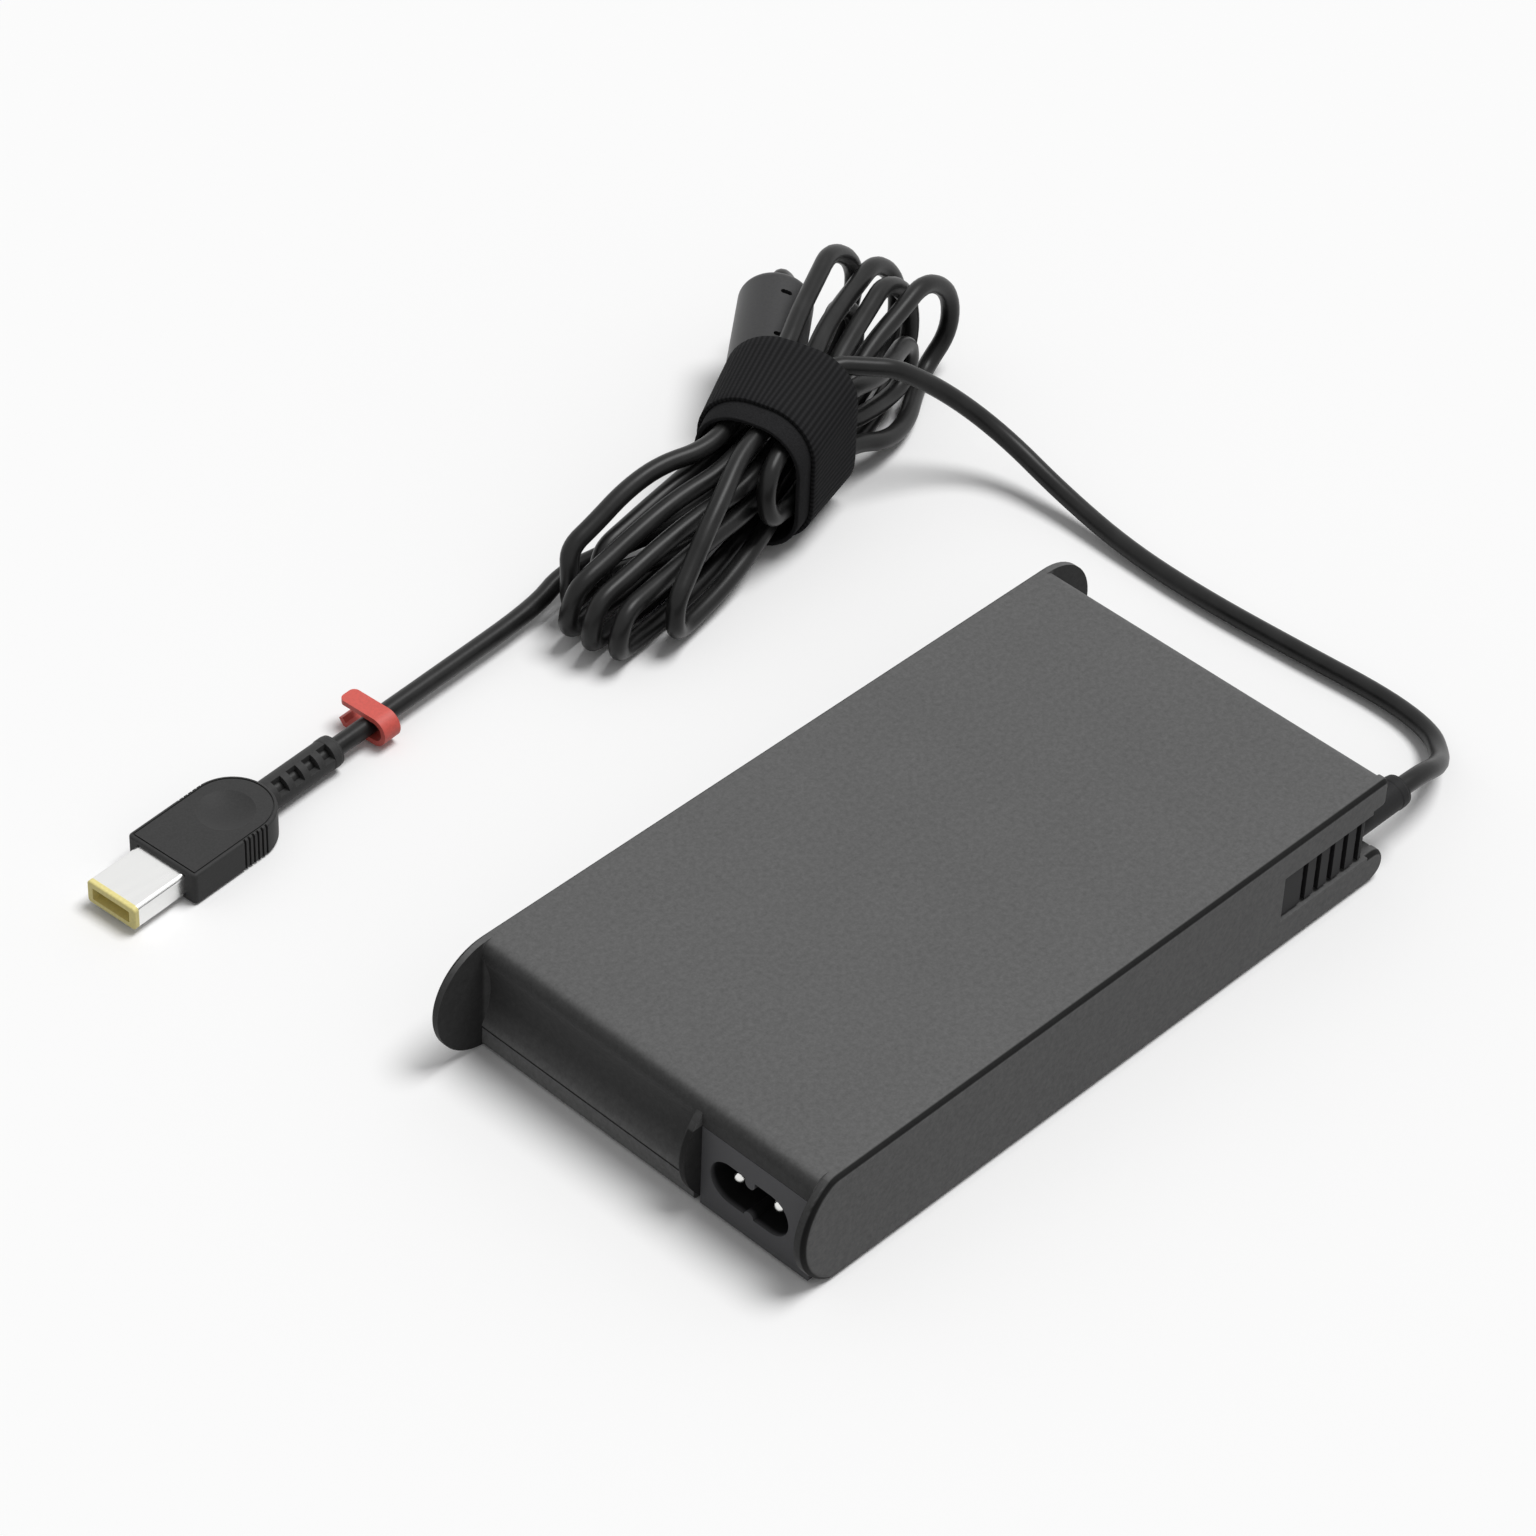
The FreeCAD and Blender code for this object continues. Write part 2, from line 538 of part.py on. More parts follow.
def insides():
    pieces = {}
    pieces["circuit_board"] = circuit_board()
    pieces["fuse"] = on_board(1.2, 10.7, 2.7, 1.4, 7.5)
    core, coil = choke()
    pieces["choke_core"] = core
    pieces["choke_windings"] = coil
    pieces["x_capacitor"] = on_board(4.7, 7.3, 6.0, 2.6, 10.8)
    pieces["y_capacitors"] = Part.makeCompound([disc_capacitor(9.3 + i * 2.8) for i in range(2)])
    pieces["bridge_rectifier"] = on_board(4.6, 2.6, 6.0, 1.3, 10.8)
    pieces["bulk_capacitors"] = Part.makeCompound([lying_can(14.8, 21.2 - i * 4.2, 9.0) for i in range(2)])
    core, coil = e_core(*PFC)
    pieces["pfc_core"] = core
    pieces["pfc_winding"] = coil
    core, coil = e_core(*TRANSFORMER)
    pieces["transformer_core"] = core
    pieces["transformer_winding"] = coil
    under = LAYERS - TAB
    pieces["power_transistors"] = Part.makeCompound([
        on_board(column, row, 4.6, 3.2, TAB, under) for column, row in TRANSISTORS])
    pieces["transistor_brackets"] = Part.makeCompound([
        join([on_board(column, row, 4.0, 2.6, 1.0, under - 1.0),
              on_board(column - 1.7, row, 0.6, 2.6, under - 1.0)]) for column, row in TRANSISTORS])
    pads = [on_board(column, row, 4.2, 2.6, PAD / LAYER, LAYERS) for column, row in TRANSISTORS]
    pads += [on_board(c[0], c[1], c[2] - 1.2, c[3] - 1.2, PAD / LAYER, LAYERS) for c in (PFC, TRANSFORMER)]
    pieces["thermal_pads"] = Part.makeCompound(pads)
    pieces["controller_chip"] = on_board(29.0, 20.6, 3.2, 1.3, 1.7)
    pieces["optocoupler"] = on_board(28.2, 16.6, 1.5, 2.1, 3.5)
    pieces["output_capacitors"] = Part.makeCompound([standing_can(33.3, 20.6 - i * 3.1) for i in range(4)])
    pieces["output_rectifiers"] = Part.makeCompound([
        on_board(29.6, 12.6 - i * 3.0, 2.0, 1.7, 1.2) for i in range(3)])
    pieces["bottom_insulation"] = thin_sheet(FLOOR_WALL, FLOOR_WALL + FILM, 0.2, True)
    pieces["bottom_heat_spreader"] = thin_sheet(FLOOR_WALL + FILM, FLOOR_WALL + FILM + BOTTOM_SHEET,
                                                1.5, True)
    pieces["top_heat_spreader"] = thin_sheet(SHEET_BOTTOM, SHEET_TOP, 1.5, False)
    pieces["top_insulation"] = thin_sheet(SHEET_TOP, CAVITY_TOP, 0.2, False)
    pieces["output_leads"] = output_leads()
    return pieces


def output_leads():
    """two insulated wires from the strain relief to the board"""
    wires = []
    radius = 0.9
    for side in (-1, 1):
        y = OUTLET_Y + side * (radius + 0.1)
        x = RELIEF_START - POCKET_WALL - 6.0 - side * 0.5 * radius
        along = rod(radius, (x, y, OUTLET_Z), (1, 0, 0), RELIEF_START - x)
        down = rod(radius, (x, y, BOARD_TOP), (0, 0, 1), OUTLET_Z - BOARD_TOP)
        knee = Part.makeSphere(radius, vec(x, y, OUTLET_Z))
        wires.append(join([along, knee, down]))
    return Part.makeCompound(wires)


# Cord routes


def sub(a, b):
    return (a[0] - b[0], a[1] - b[1], a[2] - b[2])


def add(a, b, k=1.0):
    return (a[0] + k * b[0], a[1] + k * b[1], a[2] + k * b[2])


def dot(a, b):
    return a[0] * b[0] + a[1] * b[1] + a[2] * b[2]


def size(a):
    return math.sqrt(dot(a, a))


def unit(a):
    return tuple(c / size(a) for c in a)


def hank_place(p):
    """from the hank's own u, w, z to the part's frame"""
    c = math.cos(math.radians(HANK_TURN))
    s = math.sin(math.radians(HANK_TURN))
    return (HANK_X + p[0] * c - p[1] * s, HANK_Y + p[0] * s + p[1] * c, p[2])


def plug_place(along, across=0.0, up=0.0):
    """from the plug's own axis to the part's frame"""
    c = math.cos(math.radians(PLUG_TURN))
    s = math.sin(math.radians(PLUG_TURN))
    return (PLUG_TIP[0] + along * c - across * s, PLUG_TIP[1] + along * s + across * c, PLUG_AXIS_Z + up)


# Each loop's end: reach, w at the end, how much further across its upper side lies, height,
# (w, z) where it enters the strap above and below, rise of the upper run, sweep of the lower side
# and how far above the ground that side lies
LEFT_ENDS = {
    "front": (42.6, -3.4, -1.2, 12.4, (-0.4, 23.8), (-4.4, 5.2), 2.0, 0.8, 0.0),
    "fourth": (51.6, 3.2, 0.8, 11.8, (-3.0, 12.4), (0.1, 4.0), 0.4, 0.4, 0.0),
    "third": (52.4, 8.6, 2.0, 12.4, (-1.6, 16.6), (4.5, 4.6), 0.6, 0.2, 0.0),
    "second": (51.0, 14.2, 2.2, 12.4, (2.6, 18.2), (7.1, 8.2), 0.8, -0.4, 0.0),
    "inner": (40.4, 15.0, 0.6, 14.8, (7.3, 17.1), (2.2, 8.4), 1.6, 0.0, 3.0),
    "first": (45.4, 18.3, 1.4, 13.4, (6.3, 21.5), (7.3, 12.6), 0.2, 0.0, 0.0),
}
RIGHT_ENDS = {
    "hidden": (41.0, -4.2, -1.0, 13.0, (-6.8, 19.8), (-1.9, 8.5), 0.0, 0.3, 0.0),
    "fourth": (55.2, -5.6, -2.6, 21.6, (-5.8, 14.6), (-6.6, 8.4), 0.2, 3.4, 0.0),
    "third": (49.6, -4.6, -3.0, 22.8, (-2.6, 18.2), (-2.7, 4.0), 0.2, 1.2, 0.0),
    "second": (53.4, 0.2, -3.4, 22.4, (1.0, 20.9), (1.8, 4.0), 0.5, 1.0, 0.0),
    "inner": (43.0, 4.0, -1.6, 18.0, (1.6, 16.2), (6.2, 4.0), 0.0, 0.3, 0.0),
    "first": (48.0, 7.2, -1.6, 26.4, (5.2, 24.2), (4.6, 8.2), 0.4, 1.2, 0.0),
}
WAIST_ABOVE = {"front": (-1.8, 24.2), "tuck": (-6.4, 19.4), "fourth": (-3.8, 14.4), "third": (-2.1, 17.9),
               "second": (2.3, 19.0), "inner": (4.8, 15.0), "first": (5.9, 21.9)}
WAIST_BELOW = {"front": (-3.0, 6.8), "tuck": (-7.0, 9.6), "fourth": (-0.8, 3.9), "third": (3.4, 3.9),
               "second": (7.2, 6.0), "inner": (2.6, 8.2), "first": (9.2, 10.0)}
TUCK = ((-6.5, -5.2, 21.1), (-10.6, -5.6, 21.1), (-14.2, -6.0, 19.4), (-15.7, -6.4, 15.4), (-14.2, -6.8, 11.4),
        (-10.6, -7.0, 9.8))
HANK_START = ((16.4, -9.8, 25.8), (13.9, -7.0, 26.6), (8.5, -3.2, 26.4))
BEHIND_BEAD = ((13.0, 10.2, 4.8), (25.0, 14.6, 2.4), (36.0, 18.0, LOOP_FLOOR), (43.6, 20.6, 3.4),
               (47.0, 21.6, 8.6))
FIRM = 0.25               # how freely the settling moves an end of a loop, beside 1 for a run


def loop_end(side, end):
    """nodes round one end of a loop, from above to below: u, w, z, how freely it may move, and whether
    the cord bends evenly there or follows the run that comes in or goes out, on the level or not"""
    reach, w, lean, height, above, below, rise, sweep, lift = end
    ground = LOOP_FLOOR + lift
    r = (height - ground) / 2
    centre = reach - r
    fall = math.atan2(above[1] - height + 2 * rise, centre - MOUTH)
    top = centre + r * math.sin(fall)
    crest = ground + r + r * math.cos(fall)
    half = (MOUTH + top) / 2
    return [(side * MOUTH, above[0], above[1], 1.0, "bend"),
            (side * half, (above[0] + w - lean) / 2, (above[1] + crest) / 2 + rise, 1.0, "bend"),
            (side * top, w - lean, crest, FIRM, "in" if side < 0 else "out"),
            (side * reach, w - 0.5 * lean, ground + r, FIRM, "bend"),
            (side * centre, w + sweep, ground, FIRM, "level out" if side < 0 else "level in"),
            (side * (MOUTH + centre) / 2, (below[0] + w) / 2, ground + 0.25 * (below[1] - ground), 1.0, "bend"),
            (side * MOUTH, below[0], below[1], 1.0, "bend")]


def hank_nodes():
    nodes = [HANK_START[0] + (0.0, "bend"), HANK_START[1] + (0.0, "bend"), HANK_START[2] + (FIRM, "bend")]
    nodes.append((0.0,) + WAIST_ABOVE["front"] + (0.5, "bend"))
    rounds = [("front", "hidden"), ("tuck", "fourth"), ("fourth", "third"), ("third", "second"),
              ("second", "inner"), ("inner", "first"), ("first", None)]
    for i, (left, right) in enumerate(rounds):
        if left == "tuck":
            nodes += [p + (FIRM, "bend") for p in TUCK]
        else:
            nodes += loop_end(-1, LEFT_ENDS[left])
        nodes.append((0.0,) + WAIST_BELOW[left] + (1.0, "bend"))
        if right:
            nodes += loop_end(1, RIGHT_ENDS[right])[::-1]
            nodes.append((0.0,) + WAIST_ABOVE[rounds[i + 1][0]] + (1.0, "bend"))
    nodes += [p + (1.0 if i < 3 else 0.3, "level" if i == 2 else "bend") for i, p in enumerate(BEHIND_BEAD)]
    axis = unit(sub(BEAD_FAR, BEAD_NEAR))
    nodes.append(add(BEAD_FAR, axis, CORD_D) + (0.0, "bend"))
    nodes.append(BEAD_FAR + (0.0, "bend"))
    return nodes


def tangents(points, kinds, first, last):
    """directions at the nodes"""
    result = []
    for i in range(len(points)):
        if i < 2:
            result.append(first)
        elif i > len(points) - 3:
            result.append(last)
        else:
            a = sub(points[i], points[i - 1])
            b = sub(points[i + 1], points[i])
            t = add(tuple(c * size(b) / size(a) for c in a), b, size(a) / size(b))
            if kinds[i].endswith("in"):
                t = a
            if kinds[i].endswith("out"):
                t = b
            result.append(unit((t[0], t[1], 0.0) if kinds[i].startswith("level") else t))
    return result


def meeting_point(p0, t0, p1, t1):
    """where the two arcs between two nodes meet"""
    v = sub(p1, p0)
    t = add(t0, t1)
    k = 2 * (1 - dot(t0, t1))
    if k < 1e-6:
        d = dot(v, v) / (4 * dot(v, t1))
    else:
        d = (math.sqrt(dot(v, t) ** 2 + k * dot(v, v)) - dot(v, t)) / k
    a = add(p0, t0, d)
    b = add(p1, t1, -d)
    return tuple((a[i] + b[i]) / 2 for i in range(3))


def arc_points(p, t, q, count):
    """points along the arc that leaves p along t and ends at q, and its radius"""
    c = sub(q, p)
    turn = 2 * math.acos(max(-1.0, min(1.0, dot(c, t) / size(c))))
    if turn < 1e-4:
        return [add(p, c, (i + 1) / count) for i in range(count)], 1e6
    normal = unit(sub(c, tuple(k * dot(c, t) for k in t)))
    radius = size(c) / (2 * math.sin(turn / 2))
    points = []
    for i in range(count):
        a = turn * (i + 1) / count
        points.append(add(add(p, t, radius * math.sin(a)), normal, radius * (1 - math.cos(a))))
    return points, radius


def sample(points, dirs, step):
    """points along the arcs, each with its node's number and its share of the way to the next"""
    result = [points[0]]
    place = [(0, 0.0)]
    radii = []
    for i in range(len(points) - 1):
        q = meeting_point(points[i], dirs[i], points[i + 1], dirs[i + 1])
        first = size(sub(q, points[i]))
        second = size(sub(points[i + 1], q))
        n1 = max(1, int(math.ceil(first / step)))
        n2 = max(1, int(math.ceil(second / step)))
        part1, r1 = arc_points(points[i], dirs[i], q, n1)
        part2, r2 = arc_points(points[i + 1], tuple(-c for c in dirs[i + 1]), q, n2)
        part2 = part2[:-1][::-1] + [points[i + 1]]
        radii += [r1, r2]
        share = first / (first + second)
        result += part1
        place += [(i, share * (j + 1) / n1) for j in range(n1)]
        result += part2
        place += [(i, share + (1 - share) * (j + 1) / n2) for j in range(n2)]
    return result, place, radii


def away_from(p, a, b):
    """the vector from segment ab to p"""
    ab = sub(b, a)
    t = max(0.0, min(1.0, dot(sub(p, a), ab) / dot(ab, ab)))
    return sub(p, add(a, ab, t))


def strap_section(u, inset):
    """w low, w high, z low, z high and the four corner radii of the strap's section at u"""
    t = (u - STRAP_LEFT) / (STRAP_RIGHT - STRAP_LEFT)
    low, high, top = [a + t * (b - a) - inset for a, b in (STRAP_W_LOW, STRAP_W_HIGH, STRAP_TOP)]
    corners = [a + t * (b - a) - inset for a, b in STRAP_CORNERS]
    return low + 2 * inset, high, inset, top, corners


def strap_push(u, w, z):
    """how far a cord's axis has to move to lie inside the strap"""
    low, high, bottom, top, corners = strap_section(u, 2 * STRAP_THICK + STRAP_CLEAR + CORD_R)
    far = w > (low + high) / 2
    above = z > (bottom + top) / 2
    corner = corners[(2 if far else 3) if above else (1 if far else 0)]
    w0 = min(w, high - corner) if far else max(w, low + corner)
    z0 = min(z, top - corner) if above else max(z, bottom + corner)
    gap = math.hypot(w - w0, z - z0)
    if gap <= corner:
        return (0.0, 0.0, 0.0)
    k = (corner - gap) / gap
    return (0.0, (w - w0) * k, (z - z0) * k)


def settle(nodes, still):
    """push neighbouring turns apart, off the ground, off the bead and inside the strap"""
    free = [p[3] for p in nodes]
    kinds = [p[4] for p in nodes]
    start = [tuple(p[:3]) for p in nodes]
    points = start
    first = unit(sub(points[1], points[0]))
    last = unit(sub(points[-1], points[-2]))
    goal = CORD_D + WIRE_GAP
    reach = goal + 3.5
    for round_no in range(SETTLE_ROUNDS):
        dirs = tangents(points, kinds, first, last)
        curve, place, radii = sample(points, dirs, 4.0)
        if round_no % 6 == 0:
            pairs = near_pairs(curve, reach)
            beside = [(i, j) for i, p in enumerate(curve) for j in range(len(still) - 1)
                      if size(sub(p, still[j])) < reach + 4.0]
            count = len(curve)
        force = [[0.0, 0.0, 0.0] for p in points]
        weight = [0.0] * len(points)

        def push(k, move):
            node, share = place[k]
            for n, part in ((node, 1 - share), (node + 1, share)):
                if part > 0.15:
                    for c in range(3):
                        force[n][c] += move[c] * part
                    weight[n] += part

        for i, j in pairs:
            if i >= len(curve) or j >= len(curve):
                continue
            gap = min((away_from(curve[i], curve[k], curve[k + 1])
                       for k in (j - 1, j) if k + 1 < len(curve)), key=size)
            length = max(size(gap), 1e-3)
            if length < goal:
                k = 0.5 * (goal + 0.05 - length) / length
                push(i, tuple(c * k for c in gap))
                push(j, tuple(-c * k for c in gap))
        for i, j in beside:
            if i < len(curve):
                gap = away_from(curve[i], still[j], still[j + 1])
                length = max(size(gap), 1e-3)
                if length < goal:
                    push(i, tuple(c * (goal + 0.05 - length) / length for c in gap))
        lift = [0.0] * len(points)
        for i, p in enumerate(curve):
            for n in (place[i][0], min(place[i][0] + 1, len(points) - 1)):
                lift[n] = max(lift[n], LOOP_FLOOR - p[2])
            if place[i][0] < len(points) - 5:
                gap = away_from(p, BEAD_NEAR, BEAD_FAR)
                clear = SLEEVE_R + CORD_R + 0.5
                if size(gap) < clear:
                    push(i, tuple(c * (clear + 0.05 - size(gap)) / size(gap) for c in gap))
            if STRAP_LEFT - 1 < p[0] < STRAP_RIGHT + 1:
                push(i, tuple(2.5 * c for c in strap_push(*p)))
        moved = []
        for i, p in enumerate(points):
            if free[i] > 0 and weight[i] > 0:
                k = 1.5 * free[i] / max(1.0, weight[i])
                p = (p[0] + 0.25 * k * force[i][0], p[1] + k * force[i][1], p[2] + k * force[i][2])
            if free[i] > 0:
                p = (p[0], p[1], p[2] + 0.8 * lift[i])
            moved.append(p)
        points = ease(start, moved, free) if round_no < SETTLE_ROUNDS - LAST_ROUNDS else moved
    return points, tangents(points, kinds, first, last)


def near_pairs(curve, reach):
    """pairs of sampled points that lie close but are far apart along the cord"""
    along = [0.0]
    for a, b in zip(curve, curve[1:]):
        along.append(along[-1] + size(sub(b, a)))
    cells = {}
    for i, p in enumerate(curve):
        cells.setdefault(tuple(int(c // reach) for c in p), []).append(i)
    pairs = []
    for i, p in enumerate(curve):
        home = tuple(int(c // reach) for c in p)
        for dx in (-1, 0, 1):
            for dy in (-1, 0, 1):
                for dz in (-1, 0, 1):
                    for j in cells.get((home[0] + dx, home[1] + dy, home[2] + dz), ()):
                        if j > i and along[j] - along[i] > 4 * CORD_D and size(sub(p, curve[j])) < reach:
                            pairs.append((i, j))
    return pairs


def ease(start, points, free):
    """let neighbouring nodes share how far they have moved, so that the loops keep their shape"""
    moves = [sub(p, q) for p, q in zip(points, start)]
    result = list(points)
    for i in range(1, len(points) - 1):
        if free[i] > 0:
            middle = add(moves[i - 1], moves[i + 1])
            change = sub(tuple(c / 2 for c in middle), moves[i])
            result[i] = add(points[i], change, EASE)
    return result


def least_gap(curve):
    """least clear gap of the cord to itself"""
    best = 99.0
    for i, j in near_pairs(curve, 2 * CORD_D):
        for k in (j - 1, j):
            if k + 1 < len(curve):
                best = min(best, size(away_from(curve[i], curve[k], curve[k + 1])))
    return best - CORD_D


def biarc_wire(points, dirs):
    edges = []
    for i in range(len(points) - 1):
        q = meeting_point(points[i], dirs[i], points[i + 1], dirs[i + 1])
        for p, t, end in ((points[i], dirs[i], q), (q, None, points[i + 1])):
            if t is None:
                back, radius = arc_points(points[i + 1], tuple(-c for c in dirs[i + 1]), q, 2)
            else:
                back, radius = arc_points(p, t, end, 2)
            middle = back[0]
            if radius > 5e3:
                edges.append(line(p, end))
            else:
                edges.append(arc(p, middle, end))
    return Part.Wire(edges)


def tube(path, start, direction, radius):
    circle = Part.Wire([Part.Circle(vec(*start), vec(*direction), radius).toShape()])
    shell = Part.BRepOffsetAPI.MakePipeShell(path)
    shell.add(circle)
    shell.build()
    shell.makeSolid()
    return shell.shape()


def free_route(points, name):
    """straight runs joined by tangent arcs, each as large as its two runs allow"""
    edges = []
    start = points[0]
    radii = []
    for i in range(1, len(points) - 1):
        a = sub(points[i - 1], points[i])
        b = sub(points[i + 1], points[i])
        turn = math.pi - math.acos(dot(a, b) / (size(a) * size(b)))
        cut = 0.45 * min(size(a), size(b))
        radii.append(cut / math.tan(turn / 2))
        p = add(points[i], unit(a), cut)
        q = add(points[i], unit(b), cut)
        bisect = unit(add(unit(a), unit(b)))
        depth = radii[-1] / math.cos(turn / 2) - radii[-1]
        edges.append(line(start, p))
        edges.append(arc(p, add(points[i], bisect, depth), q))
        start = q
    edges.append(line(start, points[-1]))
    print("%s radii: %s" % (name, " ".join("%.1f" % r for r in radii)))
    return Part.Wire(edges)


def free_tube(points, name):
    path = free_route(points, name)
    solid = tube(path, points[0], unit(sub(points[1], points[0])), CORD_R)
    section = math.pi * CORD_R ** 2
    print("%s length %.1f, volume against section by length %.4f"
          % (name, path.Length, solid.Volume / (section * path.Length)))
    return solid


def lead_points():
    """from the outlet in the brick to the hank, laid on the ground half way"""
    ground = CORD_R + FLOOR_GAP
    route = [(BOOT_END, OUTLET_Y, OUTLET_Z), (BOOT_END + 6.0, OUTLET_Y, OUTLET_Z), (88.4, -32.2, 7.8),
             (94.6, -28.4, 3.8), (100.0, -22.4, 2.2), (101.6, -11.4, ground), (100.2, 7.0, ground),
             (99.0, 28.0, ground), (99.6, 46.5, ground), (101.1, 63.3, 4.0), (101.0, 77.4, 9.0), (94.9, 85.7, 17.0)]
    ahead = unit(sub(HANK_START[0], HANK_START[1]))
    return route + [hank_place(p) for p in (add(HANK_START[0], ahead, 1.6 * CORD_D), HANK_START[0])]


def tail_points():
    """from the bead's near end to the plug's boot, straight over its last stretch"""
    axis = unit(sub(BEAD_NEAR, BEAD_FAR))
    inner = [BEAD_NEAR, add(BEAD_NEAR, axis, 7.0), (-2.0, 4.8, 13.8), (-12.0, 2.6, 12.8), (-22.0, 8.0, 9.6),
             (-31.0, 14.8, 7.4), (-39.0, 20.8, 5.0)]
    end = BODY_START + PLUG_LENGTH + PLUG_BOOT_LENGTH
    return [hank_place(p) for p in inner] + [plug_place(end + STRAIGHT_TAIL), plug_place(end)]


def to_hank(p):
    c = math.cos(math.radians(HANK_TURN))
    s = math.sin(math.radians(HANK_TURN))
    x = p[0] - HANK_X
    y = p[1] - HANK_Y
    return (x * c + y * s, y * c - x * s, p[2])


def hank():
    still = [to_hank(p) for p in tail_points()[:-1]]
    points, dirs = settle(hank_nodes(), still)
    curve, place, radii = sample(points, dirs, 1.0)
    length = sum(size(sub(b, a)) for a, b in zip(curve, curve[1:]))
    gap = least_gap(curve)
    print("hank: %d nodes, length %.1f, least gap to itself %.2f, least radius %.2f, lowest axis %.2f"
          % (len(points), length, gap, min(radii), min(p[2] for p in curve)))
    if gap < MIN_GAP:
        print("hank: turns lie too close")
    placed = [hank_place(p) for p in points]
    origin = hank_place((0, 0, 0))
    turned = [sub(hank_place((t[0], t[1], t[2])), origin) for t in dirs]
    path = biarc_wire(placed, turned)
    solid = tube(path, placed[0], turned[0], CORD_R)
    print("hank: volume against section by length %.4f"
          % (solid.Volume / (math.pi * CORD_R ** 2 * path.Length)))
    return solid, curve


# Strap, bead, plug and clip


def strap_outline(u, inset):
    low, high, bottom, top, corners = strap_section(u, inset)
    middles = ((low, bottom, 1, 1), (high, bottom, -1, 1), (high, top, -1, -1), (low, top, 1, -1))
    spots = []
    for i, (w, z, across, up) in enumerate(middles):
        r = corners[i]
        m = r * (1 - math.sqrt(0.5))
        side = (w, z + up * r)
        flat = (w + across * r, z)
        ends = (side, flat) if i % 2 == 0 else (flat, side)
        spots.append((ends[0], (w + across * m, z + up * m), ends[1]))
    edges = []
    for i in range(4):
        a, knee, b, c = [hank_place((u,) + q) for q in spots[i] + (spots[(i + 1) % 4][0],)]
        edges.append(arc(a, knee, b))
        edges.append(line(b, c))
    return Part.Wire(edges)


def strap_wrap(start, end, inset):
    outer = Part.makeLoft([strap_outline(start, inset), strap_outline(end, inset)], True, True)
    thick = inset + STRAP_THICK
    inner = Part.makeLoft([strap_outline(start - 1, thick), strap_outline(end + 1, thick)], True, True)
    return outer.cut(inner)


def bead_frame():
    near = hank_place(BEAD_NEAR)
    far = hank_place(BEAD_FAR)
    return near, far, unit(sub(far, near)), size(sub(far, near))


def ferrite_sleeve():
    near, far, axis, length = bead_frame()
    sleeve = rod(SLEEVE_R, near, axis, length)
    sleeve = round_where(sleeve, SLEEVE_ROUND, lambda e: len(e.Vertexes) == 1)
    sleeve = sleeve.cut(rod(CORE_R, add(near, axis, CORE_CAP), axis, length - 2 * CORE_CAP))
    sleeve = sleeve.cut(rod(CORD_R + BORE_GAP, add(near, axis, -1), axis, length + 2))
    up = unit(sub((0, 0, 1), tuple(c * axis[2] for c in axis)))
    side = unit((axis[1], -axis[0], 0))
    for share in (0.26, 0.75):
        for sign in (-1, 1):
            out = unit(add(up, side, 0.35 * sign)) if sign > 0 else tuple(-c for c in unit(add(up, side, 0.35)))
            spot = add(add(near, axis, length * share), out, CORE_R - 0.5)
            window = rod(WINDOW_WIDTH / 2, spot, out, SLEEVE_R)
            across = unit(sub(side, tuple(c * dot(side, out) for c in out)))
            shapes = [window.translated(vec(*tuple(c * k for c in across)))
                      for k in (-(WINDOW_LENGTH - WINDOW_WIDTH) / 2, 0.0, (WINDOW_LENGTH - WINDOW_WIDTH) / 2)]
            sleeve = sleeve.cut(join(shapes))
    return sleeve


def ferrite_core():
    near, far, axis, length = bead_frame()
    core = rod(CORE_R, add(near, axis, CORE_CAP), axis, length - 2 * CORE_CAP)
    return core.cut(rod(CORD_R + BORE_GAP, near, axis, length))


def cord_in_bead():
    near, far, axis, length = bead_frame()
    return rod(CORD_R, near, axis, length)


def placed_on_plug(shape):
    shape.rotate(vec(0, 0, 0), vec(0, 0, 1), PLUG_TURN)
    shape.translate(vec(PLUG_TIP[0], PLUG_TIP[1], PLUG_AXIS_Z))
    return shape


def plug_rim(inset):
    """the plug's outline, set in by so much, as two thin slabs at its two faces"""
    half = PLUG_WIDTH / 2
    centre = BODY_START + PLUG_LENGTH - half
    slabs = []
    for z in (-PLUG_HEIGHT / 2, PLUG_HEIGHT / 2 - RIM_CUT):
        slab = box(BODY_START + inset, centre, inset - half, half - inset, z, z + RIM_CUT)
        slabs.append(join([slab, rod(half - inset, (centre, 0, z), (0, 0, 1), RIM_CUT)]))
    return Part.makeCompound(slabs)


